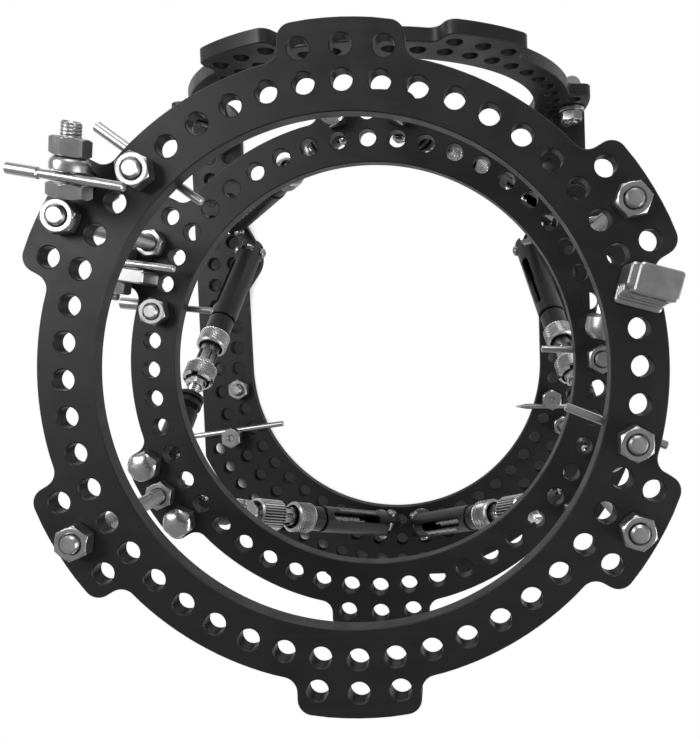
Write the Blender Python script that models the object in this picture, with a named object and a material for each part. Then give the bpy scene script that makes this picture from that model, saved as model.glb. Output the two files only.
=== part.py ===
"""Circular external fixator for the lower leg and foot: two holed rings joined by threaded rods,
a U-shaped foot plate with an upright arch, six telescopic struts and the half pins with their clamps.

Frame: +Z runs along the ring axis from the foot plate to the front ring, +Y points to the toes and
+X to the side of the right leg of the foot plate. The bolt heads under the foot plate rest on z = 0.
"""

import math

import bmesh
import bpy
from mathutils import Matrix, Vector

MM = 0.001

# Where the ring axis stands, measured from the middle of the outline on the floor
AXIS_X = 3.98 * MM
AXIS_Y = -10.04 * MM

# Section that both rings, the foot plate and the arch share
OUTER_R = 98.0 * MM
BAND_W = 18.0 * MM
INNER_R = OUTER_R - BAND_W
HOLE_ROW_IN = 9.6 * MM
HOLE_ROW_R = INNER_R + HOLE_ROW_IN
PLATE_T = 6.0 * MM
HOLE_D = 6.8 * MM
HOLE_SIDES = 6
HOLE_STEPS = 48
INNER_STEPS = 40
RIM_STEPS = 4
CLEAR = 0.3 * MM

# Tabs on the rim of the rings and the arch
TAB_REACH = 10.5 * MM
TAB_TIP_R = OUTER_R + TAB_REACH
TAB_ROW_PITCH = 10.6 * MM
TAB_ROW_R = HOLE_ROW_R + TAB_ROW_PITCH
TAB_WIDTH = 0.4 * OUTER_R
TAB_CORNER_R = 5.0 * MM
TAB_EVERY = 8
CORNER_STEPS = 2

# Heights
HEAD_H = 5.0 * MM
RING_GAP = 59.1 * MM
FOOT_TO_RING_B = 113.8 * MM
FOOT_BOTTOM_Z = HEAD_H
FOOT_TOP_Z = FOOT_BOTTOM_Z + PLATE_T
RING_B_BOTTOM_Z = FOOT_TOP_Z + FOOT_TO_RING_B
RING_B_TOP_Z = RING_B_BOTTOM_Z + PLATE_T
RING_A_BOTTOM_Z = RING_B_TOP_Z + RING_GAP
RING_A_TOP_Z = RING_A_BOTTOM_Z + PLATE_T

# Foot plate, in its own coordinates with the centre of the heel arc as origin
FOOT_X = -1.56 * MM
FOOT_Y = -4.3 * MM
FOOT_TURN = math.radians(0.63)
FOOT_MIDDLE_ROW_PITCH = 10.8 * MM
FOOT_OUTER_ROW_PITCH = 11.8 * MM
FOOT_RIM_W = 8.8 * MM
FOOT_MIDDLE_ROW_R = HOLE_ROW_R + FOOT_MIDDLE_ROW_PITCH
FOOT_OUTER_ROW_R = FOOT_MIDDLE_ROW_R + FOOT_OUTER_ROW_PITCH
FOOT_OUTER_R = FOOT_OUTER_ROW_R + FOOT_RIM_W
FOOT_OUTER_ROW_STEP = math.radians(6.0)
FOOT_OUTER_ROW_COUNT = 11
FOOT_OUTER_STEPS = 6
FOOT_INNER_STEPS = 24
LEG_STEP_IN = 1.0 * MM
LEG_MARGIN = 10.0 * MM
FOOT_LEG_IN_X = INNER_R + LEG_STEP_IN
FOOT_LEG_OUT_X = FOOT_MIDDLE_ROW_R + LEG_MARGIN
FOOT_TOE_Y = 149.0 * MM
FOOT_TOE_R = 9.0 * MM
TOE_MARGIN = 6.2 * MM
FOOT_HEEL_Y = -FOOT_OUTER_R
FOOT_HEEL_FLAT_X = 45.0 * MM
FOOT_HEEL_CORNER_R = 5.0 * MM
FOOT_INNER_LEG_HOLES = (10, 12)
FOOT_MIDDLE_LEG_HOLES = (10, 11)
FOOT_LEG_PITCH = (FOOT_TOE_Y - TOE_MARGIN) / max(FOOT_INNER_LEG_HOLES)

# Ears on the inner sides of the legs, round the seats of the lower side struts
EAR_SEAT_IN = 1.5 * MM
EAR_SEAT_X = INNER_R + EAR_SEAT_IN
EAR_SEAT_Y = 5.4 * FOOT_LEG_PITCH
EAR_NOSE_REACH = 9.0 * MM
EAR_NOSE_X = EAR_SEAT_X - EAR_NOSE_REACH
EAR_ABOVE = 18.0 * MM
EAR_BELOW = 19.3 * MM
EAR_TOP_Y = EAR_SEAT_Y + EAR_ABOVE
EAR_LOW_Y = EAR_SEAT_Y - EAR_BELOW
EAR_TOP_SLOPE = 12.0 * MM
EAR_LOW_SLOPE = 6.0 * MM
EAR_NOSE_R = 12.0 * MM
EAR_ROOT_R = 2.0 * MM

# Arch
ARCH_FROM_TOE = 13.3 * MM
ARCH_Y = FOOT_TOE_Y - ARCH_FROM_TOE
ARCH_HOLE_MARGIN = 5.32128 * MM
ARCH_CENTRE_Z = TAB_ROW_R * math.sin(2 * math.pi / HOLE_STEPS) + ARCH_HOLE_MARGIN
ARCH_GAP = 0.4 * MM
ARCH_POST_D = 9.0 * MM
ARCH_POST_Y = ARCH_Y + PLATE_T / 2 + ARCH_GAP + ARCH_POST_D / 2
ARCH_WASHER_D = 13.0 * MM
ARCH_WASHER_T = 2.0 * MM
ARCH_INNER_STEPS = 22

# Struts: joint on the foot plate, tube, lock collar, knob, rod with its end piece, joint under ring B
FOOT_HINGE_H = 10.9 * MM
RING_HINGE_H = 11.9 * MM
TUBE_D = 13.5 * MM
TUBE_BORE_D = 8.2 * MM
TUBE_FLOOR_T = 1.6 * MM
CUT_OVER = 1.0 * MM
SLEEVE_D = 12.4 * MM
FORK_LENGTH = 5.6 * MM
FORK_SLOT_W = 6.6 * MM
FORK_SLOT_DEPTH = 10.2 * MM
PIVOT_D = 4.0 * MM
PIVOT_CLEAR = 0.35 * MM
OPEN_PIVOT_CLEAR = 0.8 * MM
PIVOT_PROUD = 1.8 * MM
POST_W = 5.4 * MM
POST_TIP = 2.2 * MM
POST_FOOT_EDGE = 0.6 * MM
POST_FOOT_RISE = 0.75
SEAT_D = 12.0 * MM
SEAT_T = 1.6 * MM
RING_HEAD_AF = 11.0 * MM
RING_HEAD_H = 7.0 * MM
RING_HEAD_STRAIGHT = 0.55
RING_HEAD_TIP = 0.35
WINDOW_W = 4.6 * MM
WINDOW_START = 12.0 * MM
WINDOW_END_MARGIN = 4.0 * MM
ROD_D = 6.0 * MM
ROD_START = 24.0 * MM
COLLAR_D = 16.2 * MM
COLLAR_NECK_D = 9.0 * MM
KNOB_D = 15.6 * MM
FLATS_D = 10.0 * MM
DISC_D = 12.6 * MM
DISC_LENGTH = 6.0 * MM
DISC_GROOVE = 1.2 * MM
END_TAPER = 3.0 * MM
ROD_END_D = 12.0 * MM
TURNED_SIDES = 10

# Screws and nuts
SCREW_D = 6.0 * MM
NUT_AF = 10.0 * MM
NUT_T = 5.0 * MM
SCREW_END = 1.2 * MM
FOOT_SCREW_END = 3.0 * MM
ROUND_SIDES = 8

# Half pins and wires
PIN_D = 2.8 * MM
WIRE_D = 3.0 * MM
PIN_BOLT_UNDER = 6.0 * MM
PIN_TIP_SHARE = 0.2

# Clamps: widths across flats and lengths along their stack
CLAMP_START = -6.8 * MM
CLAMP_BLOCK_AF = 14.4 * MM
CLAMP_BLOCK_T = 4.5 * MM
CLAMP_NECK_D = 4.0 * MM
CLAMP_GAP = PIN_D + 2 * CLEAR
CLAMP_WASHER_D = 11.5 * MM
CLAMP_WASHER_T = 4.3 * MM
CLAMP_NUT_AF = 11.6 * MM
CLAMP_NUT_T = 5.5 * MM
CLAMP_SCREW_END = 4.6 * MM
CLAMP_TILT_RISE = 1.5 * MM
HEAD_CLAMP_START = -4.6 * MM
HEAD_CLAMP_ASIDE = 2.8 * MM
HEAD_CLAMP_NUT_T = 2.5 * MM
HEAD_CLAMP_WASHER_T = 1.5 * MM
HEAD_CLAMP_AF = 17.0 * MM
HEAD_CLAMP_T = 7.0 * MM
BAR_START = -1.4 * MM
BAR_W = 5.4 * MM
BAR_LENGTH = 20.6 * MM
BAR_REACH = 7.8 * MM
BAR_AXIS_H = 7.6 * MM
BAR_BLOCK_AF = 12.0 * MM
BAR_BLOCK_T = 4.6 * MM
BAR_SHIFT = 6.5 * MM
BAR_SCREW_END = 2.6 * MM
CONE_START = -10.5 * MM
CONE_STRAIGHT = 5.0 * MM
CONE_END = 4.0 * MM
CONE_AF = 8.4 * MM
CONE_TIP_D = 4.0 * MM


def steel(value, roughness):
    return (value, value, value, roughness, 0.9)


LOOKS = {
    "black_anodised": (0.035, 0.036, 0.038, 0.42, 0.6),
    "steel": steel(0.42, 0.3),
    "bright_steel": steel(0.55, 0.22),
}


def clear_scene():
    for old in list(bpy.data.objects):
        bpy.data.objects.remove(old, do_unlink=True)


def material(name):
    found = bpy.data.materials.get(name)
    if found:
        return found
    made = bpy.data.materials.new(name)
    made.use_nodes = True
    shader = made.node_tree.nodes["Principled BSDF"]
    red, green, blue, roughness, metallic = LOOKS[name]
    shader.inputs["Base Color"].default_value = (red, green, blue, 1.0)
    shader.inputs["Roughness"].default_value = roughness
    shader.inputs["Metallic"].default_value = metallic
    return made


def empty(name, location=(0, 0, 0), parent=None):
    made = bpy.data.objects.new(name, None)
    made.location = location
    made.parent = parent
    bpy.context.scene.collection.objects.link(made)
    return made


def place(made, look, parent, location=(0, 0, 0), rotation=(0, 0, 0)):
    made.parent = parent
    made.location = location
    made.rotation_euler = rotation
    if look:
        made.data.materials.append(material(look))
    bpy.context.scene.collection.objects.link(made)
    return made


def mesh_object(name, bm, look, parent, location=(0, 0, 0), rotation=(0, 0, 0)):
    bmesh.ops.recalc_face_normals(bm, faces=bm.faces)
    mesh = bpy.data.meshes.new(name)
    bm.to_mesh(mesh)
    bm.free()
    mesh.shade_smooth()
    mesh.set_sharp_from_angle(angle=math.radians(35))
    return place(bpy.data.objects.new(name, mesh), look, parent, location, rotation)


# Flat outlines

def polar(radius, angle):
    return Vector((radius * math.cos(angle), radius * math.sin(angle)))


def step_angle(k):
    """Angle of hole k, counted anticlockwise from the top of a ring."""
    return math.pi / 2 + k * 2 * math.pi / HOLE_STEPS


def circle(centre, diameter, sides):
    """A hole as a polygon of the same area as the round one."""
    step = 2 * math.pi / sides
    radius = diameter / 2 * math.sqrt(step / math.sin(step))
    return [Vector(centre) + polar(radius, (i + 0.5) * step) for i in range(sides)]


def rounded(corners, steps=CORNER_STEPS):
    """Outline through (point, radius) corners, each corner with a radius replaced by its tangent arc."""
    outline = []
    for i, (point, radius) in enumerate(corners):
        to_last = (corners[i - 1][0] - point).normalized()
        to_next = (corners[(i + 1) % len(corners)][0] - point).normalized()
        if not radius or to_last.dot(to_next) < -0.999:
            outline.append(point)
            continue
        half = to_last.angle(to_next) / 2
        reach = radius / math.tan(half)
        centre = point + (to_last + to_next).normalized() * radius / math.sin(half)
        start = point + to_last * reach - centre
        end = point + to_next * reach - centre
        turn = start.angle_signed(end)
        for j in range(steps + 1):
            outline.append(centre + Matrix.Rotation(-turn * j / steps, 2) @ start)
    return outline


def tab_corners(middle):
    """Corners of one rim tab, in anticlockwise order."""
    half = TAB_WIDTH / 2
    turn = Matrix.Rotation(middle - math.pi / 2, 2)
    root = math.sqrt(OUTER_R ** 2 - half ** 2)
    tip = math.sqrt(TAB_TIP_R ** 2 - half ** 2)
    points = ((half, root), (half, tip), (0, TAB_TIP_R), (-half, tip), (-half, root))
    radii = (TAB_CORNER_R, TAB_CORNER_R, 0, TAB_CORNER_R, TAB_CORNER_R)
    return [(turn @ Vector(point), radius) for point, radius in zip(points, radii)]


def rim_arc(start, end, count):
    return [(polar(OUTER_R, start + (end - start) * i / (count + 1)), 0) for i in range(1, count + 1)]


def tab_holes(k):
    return [circle(polar(TAB_ROW_R, step_angle(k + d)), HOLE_D, HOLE_SIDES) for d in (-1, 0, 1)]


def plate_object(name, outlines, thickness, look, parent, location, rotation=(0, 0, 0)):
    """A flat plate with its holes, as a filled curve extruded by its thickness; first its edge."""
    data = bpy.data.curves.new(name, "CURVE")
    data.dimensions = "2D"
    data.fill_mode = "BOTH"
    data.extrude = thickness / 2
    for outline in outlines:
        spline = data.splines.new("POLY")
        spline.points.add(len(outline) - 1)
        for point, corner in zip(spline.points, outline):
            point.co = (corner.x, corner.y, 0, 1)
        spline.use_cyclic_u = True
    return place(bpy.data.objects.new(name, data), look, parent, location, rotation)


# Solids from stacked sections, boxes and cuts

def section(radius, kind, sides):
    """Points of one cross-section: a round one, or a hexagon whose half width is the radius."""
    points = []
    for i in range(sides):
        angle = 2 * math.pi * i / sides
        reach = radius
        if kind == "hex":
            off = (angle + math.pi / 6) % (math.pi / 3) - math.pi / 6
            reach = radius / math.cos(off) if sides % 12 == 0 else radius / math.cos(math.pi / 6)
        points.append(polar(reach, angle))
    return points


def add_stack(bm, sections, sides, matrix=None, closed=False):
    """One body from (height, radius, kind) sections; a closed stack runs back inside and leaves a bore."""
    matrix = matrix or Matrix.Identity(4)
    rings = []
    for height, radius, kind in sections:
        ring = [bm.verts.new(matrix @ Vector((p.x, p.y, height))) for p in section(radius, kind, sides)]
        rings.append(ring)
    pairs = list(zip(rings, rings[1:]))
    if closed:
        pairs.append((rings[-1], rings[0]))
    else:
        bm.faces.new(list(reversed(rings[0])))
        bm.faces.new(rings[-1])
    for low, high in pairs:
        for i in range(sides):
            j = (i + 1) % sides
            bm.faces.new((low[i], low[j], high[j], high[i]))


def add_box(bm, size, centre, matrix=None):
    where = (matrix or Matrix.Identity(4)) @ Matrix.Translation(centre) @ Matrix.Diagonal((*size, 1))
    bmesh.ops.create_cube(bm, size=1, matrix=where)


def stack_object(name, sections, sides, look, parent, location=(0, 0, 0), rotation=(0, 0, 0), closed=False):
    bm = bmesh.new()
    add_stack(bm, sections, sides, closed=closed)
    return mesh_object(name, bm, look, parent, location, rotation)


def helper(name, bm, parent):
    """A cutter or an added shape for a Boolean, kept out of the model itself."""
    made = mesh_object(name, bm, None, parent)
    made.hide_render = True
    made.display_type = "WIRE"
    return made


def boolean(made, other, operation):
    change = made.modifiers.new(other.name, "BOOLEAN")
    change.operation = operation
    change.solver = "EXACT"
    change.object = other
    return made


def along(direction, point=(0, 0, 0)):
    """Matrix whose local z runs along a direction from a point."""
    turn = Vector(direction).to_track_quat("Z", "Y").to_matrix().to_4x4()
    return Matrix.Translation(point) @ turn


# Rings, foot plate and arch

def ring(name, top_z, parent):
    corners = []
    half = math.asin(TAB_WIDTH / 2 / OUTER_R)
    sextant = 2 * math.pi * TAB_EVERY / HOLE_STEPS
    for k in range(0, HOLE_STEPS, TAB_EVERY):
        middle = step_angle(k)
        corners += tab_corners(middle)
        corners += rim_arc(middle + half, middle + sextant - half, RIM_STEPS)
    outlines = [rounded(corners), circle((0, 0), 2 * INNER_R, INNER_STEPS)]
    for k in range(HOLE_STEPS):
        outlines.append(circle(polar(HOLE_ROW_R, step_angle(k)), HOLE_D, HOLE_SIDES))
        if k % TAB_EVERY == 0:
            outlines += tab_holes(k)
    return plate_object(name, outlines, PLATE_T, "black_anodised", parent, (0, 0, top_z - PLATE_T / 2))


def foot_edge():
    """Edge of the foot plate from the right toe round the heel to the left toe and back inside."""
    outer = [
        (Vector((FOOT_LEG_OUT_X, FOOT_TOE_Y)), FOOT_TOE_R),
        (Vector((FOOT_LEG_IN_X, FOOT_TOE_Y)), FOOT_TOE_R),
        (Vector((FOOT_LEG_IN_X, EAR_TOP_Y)), EAR_ROOT_R),
        (Vector((EAR_NOSE_X, EAR_TOP_Y - EAR_TOP_SLOPE)), EAR_NOSE_R),
        (Vector((EAR_NOSE_X, EAR_LOW_Y + EAR_LOW_SLOPE)), EAR_NOSE_R),
        (Vector((FOOT_LEG_IN_X, EAR_LOW_Y)), 0),
    ]
    root = math.sqrt(FOOT_OUTER_R ** 2 - FOOT_HEEL_FLAT_X ** 2)
    flank = math.sqrt(FOOT_OUTER_R ** 2 - FOOT_LEG_OUT_X ** 2)
    start = math.atan2(-root, FOOT_HEEL_FLAT_X)
    end = math.atan2(-flank, FOOT_LEG_OUT_X)
    heel_side = [
        (Vector((FOOT_HEEL_FLAT_X, FOOT_HEEL_Y)), FOOT_HEEL_CORNER_R),
        (Vector((FOOT_HEEL_FLAT_X, -root)), EAR_ROOT_R),
    ]
    sweep = (end - start) / FOOT_OUTER_STEPS
    heel_side += [(polar(FOOT_OUTER_R, start + sweep * i), 0) for i in range(1, FOOT_OUTER_STEPS)]
    heel_side.append((Vector((FOOT_LEG_OUT_X, -flank)), TAB_CORNER_R))
    inner_arc = [(polar(INNER_R, -math.pi * i / FOOT_INNER_STEPS), 0) for i in range(FOOT_INNER_STEPS + 1)]
    mirrored = [(Vector((-p.x, p.y)), r) for p, r in outer]
    heel_left = [(Vector((-p.x, p.y)), r) for p, r in heel_side]
    return outer + inner_arc + list(reversed(mirrored)) + list(reversed(heel_left)) + heel_side


def heel_spot(n, radius):
    """Hole n of a heel row, counted from the middle of the heel to the right."""
    return polar(radius, -math.pi / 2 + n * 2 * math.pi / HOLE_STEPS)


def foot_hole_centres():
    spots = []
    for n in range(-12, 13):
        spots.append(heel_spot(n, HOLE_ROW_R))
        spots.append(heel_spot(n, FOOT_MIDDLE_ROW_R))
    for n in range(-FOOT_OUTER_ROW_COUNT, FOOT_OUTER_ROW_COUNT + 1):
        spots.append(polar(FOOT_OUTER_ROW_R, -math.pi / 2 + n * FOOT_OUTER_ROW_STEP))
    for side, inner, middle in zip((-1, 1), FOOT_INNER_LEG_HOLES, FOOT_MIDDLE_LEG_HOLES):
        spots += [Vector((side * HOLE_ROW_R, i * FOOT_LEG_PITCH)) for i in range(1, inner + 1)]
        spots += [Vector((side * FOOT_MIDDLE_ROW_R, i * FOOT_LEG_PITCH)) for i in range(1, middle + 1)]
    spots += [Vector((side * EAR_SEAT_X, EAR_SEAT_Y)) for side in (-1, 1)]
    spots += [Vector((side * TAB_ROW_R, ARCH_POST_Y)) for side in (-1, 1)]
    return spots


def foot_plate(parent):
    outlines = [rounded(foot_edge())]
    outlines += [circle(spot, HOLE_D, HOLE_SIDES) for spot in foot_hole_centres()]
    return plate_object("foot_plate", outlines, PLATE_T, "black_anodised", parent, (0, 0, FOOT_TOP_Z - PLATE_T / 2))


def arch(parent):
    """Half ring with four tabs, standing across the toes' side of the foot plate on its end tabs."""
    half = math.asin(TAB_WIDTH / 2 / OUTER_R)
    corners = []
    for tab in range(4):
        middle = tab * math.pi / 3
        corners += tab_corners(middle)
        if tab < 3:
            corners += rim_arc(middle + half, middle + math.pi / 3 - half, RIM_STEPS)
    foot = ARCH_CENTRE_Z - ARCH_GAP
    corners = [(Vector((p.x, max(p.y, -foot))), r) for p, r in corners]
    inner = math.asin(foot / INNER_R)
    sweep = math.pi + 2 * inner
    for i in range(ARCH_INNER_STEPS + 1):
        corners.append((polar(INNER_R, math.pi + inner - sweep * i / ARCH_INNER_STEPS), 0))
    outlines = [rounded(corners)]
    for k in range(-1, 26):
        angle = 2 * math.pi / HOLE_STEPS * k
        outlines.append(circle(polar(HOLE_ROW_R, angle), HOLE_D, HOLE_SIDES))
        if k % TAB_EVERY in (0, 1, 7):
            outlines.append(circle(polar(TAB_ROW_R, angle), HOLE_D, HOLE_SIDES))
    place_at = (0, ARCH_Y, FOOT_TOP_Z + ARCH_CENTRE_Z)
    return plate_object("arch", outlines, PLATE_T, "black_anodised", parent, place_at, (math.pi / 2, 0, 0))


# Struts

# Each strut's seat on the foot plate, its hinge's offset from that seat and its hole in ring B
EAR_SEAT = (EAR_SEAT_X, EAR_SEAT_Y)
LEG_SEAT = (HOLE_ROW_R, 7 * FOOT_LEG_PITCH)
HEEL_SEAT = tuple(polar(HOLE_ROW_R, math.pi / 2 - 2 * math.pi / HOLE_STEPS))
STRUTS = {
    "l1": {"seat": EAR_SEAT, "side": (-1, 1), "hinge": (5.1 * MM, 0), "hole": -33, "style": "side"},
    "l2": {"seat": LEG_SEAT, "side": (-1, 1), "hinge": (5.7 * MM, -2.0 * MM), "hole": 1, "style": "side"},
    "r1": {"seat": EAR_SEAT, "side": (1, 1), "hinge": (-5.9 * MM, -4.0 * MM), "hole": -15, "style": "side"},
    "r2": {"seat": LEG_SEAT, "side": (1, 1), "hinge": (-5.4 * MM, -3.8 * MM), "hole": -1, "style": "side"},
    "h1": {"seat": HEEL_SEAT, "side": (-1, -1), "hinge": (4.8 * MM, 0.1 * MM), "hole": -31, "style": "heel"},
    "h2": {"seat": HEEL_SEAT, "side": (1, -1), "hinge": (-0.9 * MM, -1.4 * MM), "hole": -17, "style": "heel"},
}

# Where each piece begins or ends along a strut, as a share of the height between its two hinges
HINGE_RISE = FOOT_TO_RING_B - FOOT_HINGE_H - RING_HINGE_H
STYLES = {
    "side": {
        "sleeve": 0.538, "collar": 0.644, "collar_end": 0.769, "knob": 0.879, "knob_end": 1.011, "rod_end": 1.11,
    },
    "heel": {
        "sleeve": 0.473, "collar": 0.566, "collar_end": 0.714, "knob": 0.78, "knob_end": 0.945, "rod_end": 0.989,
    },
}


def stations(strut):
    """Distances of a strut's pieces from its foot hinge."""
    return {name: share * HINGE_RISE for name, share in STYLES[strut["style"]].items()}


def seat_spot(strut):
    return Vector([along_side * reach for along_side, reach in zip(strut["side"], strut["seat"])])


def foot_point(spot, z):
    """A foot plate spot as a point on the ring axis frame."""
    turned = Matrix.Rotation(FOOT_TURN, 2) @ Vector(spot)
    return Vector((turned.x + FOOT_X, turned.y + FOOT_Y, z))


def strut_frame(strut):
    """Foot hinge, ring hinge and the directions across, up and along a strut."""
    foot = foot_point(seat_spot(strut) + Vector(strut["hinge"]), FOOT_TOP_Z + FOOT_HINGE_H)
    hole = polar(TAB_ROW_R, step_angle(strut["hole"]))
    top = Vector((hole.x, hole.y, RING_B_BOTTOM_Z - RING_HINGE_H))
    axis = (top - foot).normalized()
    across = Vector((-axis.y, axis.x, 0)).normalized()
    return foot, top, across, axis.cross(across), axis


def pivot(bm, half_width):
    """Pivot pin along x, through both ears of the fork and a little past them."""
    end = half_width + PIVOT_PROUD
    pin = PIVOT_D / 2
    add_stack(bm, [(-end, pin, "round"), (end, pin, "round")], HOLE_SIDES, along((1, 0, 0)))


def fork_joint(name, parent, hinge, turn, seat_offset, seat_z, stud, width, look):
    """Post with its seat and stud through a plate, joined to the pivot pin at the hinge.

    seat_z is the height of the plate's near face from the hinge, with its sign."""
    side = math.copysign(1, seat_z)
    bm = bmesh.new()
    near = seat_z - side * CLEAR
    sections = [(near - side * SEAT_T, SEAT_D / 2, "round"), (near, SEAT_D / 2, "round")] + stud
    if side < 0:
        sections = list(reversed(sections))
    add_stack(bm, sections, HOLE_SIDES, Matrix.Translation((seat_offset.x, seat_offset.y, 0)))
    made = mesh_object(name, bm, look, parent, hinge, (0, 0, turn))
    post = bmesh.new()
    far = near - side * SEAT_T / 2
    tip = -side * POST_TIP
    if seat_offset.length > CLEAR:
        middle = seat_offset / 2
        wide = POST_W + 2 * POST_FOOT_EDGE
        foot = bmesh.new()
        size = (abs(seat_offset.x) + wide, abs(seat_offset.y) + wide, SEAT_T)
        add_box(foot, size, (middle.x, middle.y, near - side * SEAT_T * POST_FOOT_RISE))
        boolean(made, helper(name + "_foot", foot, made), "UNION")
    add_box(post, (POST_W, POST_W, abs(far - tip)), (0, 0, (far + tip) / 2))
    boolean(made, helper(name + "_post", post, made), "UNION")
    pin = bmesh.new()
    pivot(pin, width / 2)
    boolean(made, helper(name + "_pin", pin, made), "UNION")
    return made


def through_stud(side, start, depth, tail):
    """Sections of a screw through a plate: the shank from the near face and then its head or nut."""
    shank = SCREW_D / 2
    far = start + side * depth
    sections = [(start, shank, "round"), (far + side * CLEAR, shank, "round")]
    return sections + [(far + side * (CLEAR + h), r, kind) for h, r, kind in tail]


def foot_joint(name, strut, parent):
    foot, _, across, _, _ = strut_frame(strut)
    turn = math.atan2(across.y, across.x)
    seat = foot_point(seat_spot(strut), foot.z)
    offset = Matrix.Rotation(-turn, 2) @ (seat - foot).xy
    head = NUT_AF / 2
    tail = [(0, head, "hex"), (HEAD_H - CLEAR, head, "hex")]
    stud = through_stud(-1, -FOOT_HINGE_H + CLEAR, PLATE_T + CLEAR, tail)
    return fork_joint(name, parent, foot, turn, offset, -FOOT_HINGE_H, stud, TUBE_D, "steel")


def ring_joint(name, strut, parent):
    _, top, across, _, _ = strut_frame(strut)
    turn = math.atan2(across.y, across.x)
    head = RING_HEAD_AF / 2
    straight = RING_HEAD_H * RING_HEAD_STRAIGHT
    tail = [(0, head, "hex"), (straight, head, "hex"), (RING_HEAD_H, head * RING_HEAD_TIP, "hex")]
    stud = through_stud(1, RING_HINGE_H - CLEAR, PLATE_T + CLEAR, tail)
    return fork_joint(name, parent, top, turn, Vector((0, 0)), RING_HINGE_H, stud, ROD_END_D, "bright_steel")


def cut_fork(made, name, at, outward, width, pin_d):
    """Cuts the slot between a fork's two ears and its pin hole."""
    slot = bmesh.new()
    inner = at - outward * (FORK_SLOT_DEPTH - FORK_LENGTH)
    outer = at + outward * (FORK_LENGTH + CUT_OVER)
    add_box(slot, (FORK_SLOT_W, width * 2, abs(outer - inner)), (0, 0, (inner + outer) / 2))
    boolean(made, helper(name + "_slot", slot, made), "DIFFERENCE")
    hole = bmesh.new()
    radius = pin_d / 2 / math.cos(math.pi / HOLE_SIDES)
    add_stack(hole, [(-width, radius, "round"), (width, radius, "round")], HOLE_SIDES, along((1, 0, 0), (0, 0, at)))
    boolean(made, helper(name + "_pin_hole", hole, made), "DIFFERENCE")


def tube(name, style, parent):
    """Black tube with its fork at the foot, its sleeve and the scale window on the upper side."""
    sleeve = style["sleeve"]
    top = style["collar"] - CLEAR
    outer = TUBE_D / 2
    bore = TUBE_BORE_D / 2
    closed_to = FORK_SLOT_DEPTH - FORK_LENGTH + TUBE_FLOOR_T
    sections = [
        (-FORK_LENGTH, outer, "round"), (sleeve, outer, "round"), (sleeve, SLEEVE_D / 2, "round"),
        (top, SLEEVE_D / 2, "round"),
    ]
    made = stack_object(name, sections, TURNED_SIDES, "black_anodised", parent)
    inside = bmesh.new()
    add_stack(inside, [(closed_to, bore, "round"), (top + CUT_OVER, bore, "round")], HOLE_SIDES)
    boolean(made, helper(name + "_bore", inside, made), "DIFFERENCE")
    window = bmesh.new()
    window_end = sleeve - WINDOW_END_MARGIN
    middle = (WINDOW_START + window_end) / 2
    add_box(window, (WINDOW_W, outer + CUT_OVER, window_end - WINDOW_START), (0, (outer + CUT_OVER) / 2, middle))
    boolean(made, helper(name + "_window", window, made), "DIFFERENCE")
    cut_fork(made, name, 0, -1, TUBE_D, PIVOT_D + 2 * PIVOT_CLEAR)
    return made


def collar(name, style, parent):
    """Lock collar with the narrow neck that runs on to the knob."""
    start = style["collar"]
    end = style["collar_end"]
    far = style["knob"] - CLEAR
    bore = ROD_D / 2 + CLEAR
    outer = COLLAR_D / 2
    neck = COLLAR_NECK_D / 2
    sections = [
        (start, bore, "round"), (start, outer, "round"), (end, outer, "round"), (end, neck, "round"),
        (far, neck, "round"), (far, bore, "round"),
    ]
    return stack_object(name, sections, TURNED_SIDES, "steel", parent, closed=True)


def knob(name, style, parent):
    """Fluted thumb nut that moves the rod in and out."""
    start = style["knob"]
    end = style["knob_end"]
    bore = ROD_D / 2 + CLEAR
    outer = KNOB_D / 2
    sections = [(start, bore, "round"), (start, outer, "round"), (end, outer, "round"), (end, bore, "round")]
    return stack_object(name, sections, TURNED_SIDES, "bright_steel", parent, closed=True)


def rod_end(name, strut, style, parent):
    """Sliding rod with its black end piece and fork, from inside the tube to the hinge at ring B."""
    foot, top, _, _, _ = strut_frame(strut)
    length = (top - foot).length
    rod = ROD_D / 2
    start = style["rod_end"]
    body = ROD_END_D / 2
    sections = [(ROD_START, rod, "round"), (start, rod, "round")]
    if strut["style"] == "side":
        disc = DISC_D / 2
        waist = disc - DISC_GROOVE
        middle = start + DISC_LENGTH / 2
        sections += [
            (start, disc, "round"), (middle, waist, "round"), (start + DISC_LENGTH, disc, "round"),
            (start + DISC_LENGTH, waist, "round"), (start + DISC_LENGTH + END_TAPER, body, "round"),
        ]
    else:
        sections += [(start, FLATS_D / 2, "round"), (start + DISC_LENGTH, body, "round")]
    sections.append((length + FORK_LENGTH, body, "round"))
    made = stack_object(name, sections, ROUND_SIDES, "black_anodised", parent)
    cut_fork(made, name, length, 1, ROD_END_D, PIVOT_D + 2 * OPEN_PIVOT_CLEAR)
    return made


def build_strut(key, root):
    strut = STRUTS[key]
    style = stations(strut)
    foot, _, across, up, axis = strut_frame(strut)
    name = "strut_" + key
    hinge = empty(name + "_hinge", foot, root)
    hinge.rotation_euler = Matrix((across, up, axis)).transposed().to_euler()
    foot_joint(name + "_foot_joint", strut, root)
    tube(name + "_tube", style, hinge)
    collar(name + "_collar", style, hinge)
    knob(name + "_knob", style, hinge)
    rod_end(name + "_rod_end", strut, style, hinge)
    ring_joint(name + "_ring_joint", strut, root)


# Threaded rods, bolts, pins and clamps

def hole_point(k, radius, z):
    spot = polar(radius, step_angle(k))
    return Vector((spot.x, spot.y, z))


def bolt_sections(bottom_face, top_face, under, over, end):
    """Screw through one plate: what is under it, the shank, what is over it and the screw's end."""
    shank = SCREW_D / 2
    nut = NUT_AF / 2
    low = bottom_face - CLEAR
    high = top_face + CLEAR
    sections = [(low - under, nut, "hex"), (low, nut, "hex"), (low, shank, "round"), (high, shank, "round")]
    sections += [(high, nut, "hex"), (high + over, nut, "hex")]
    if end:
        sections += [(high + over, shank, "round"), (high + over + end, shank, "round")]
    return sections


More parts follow.
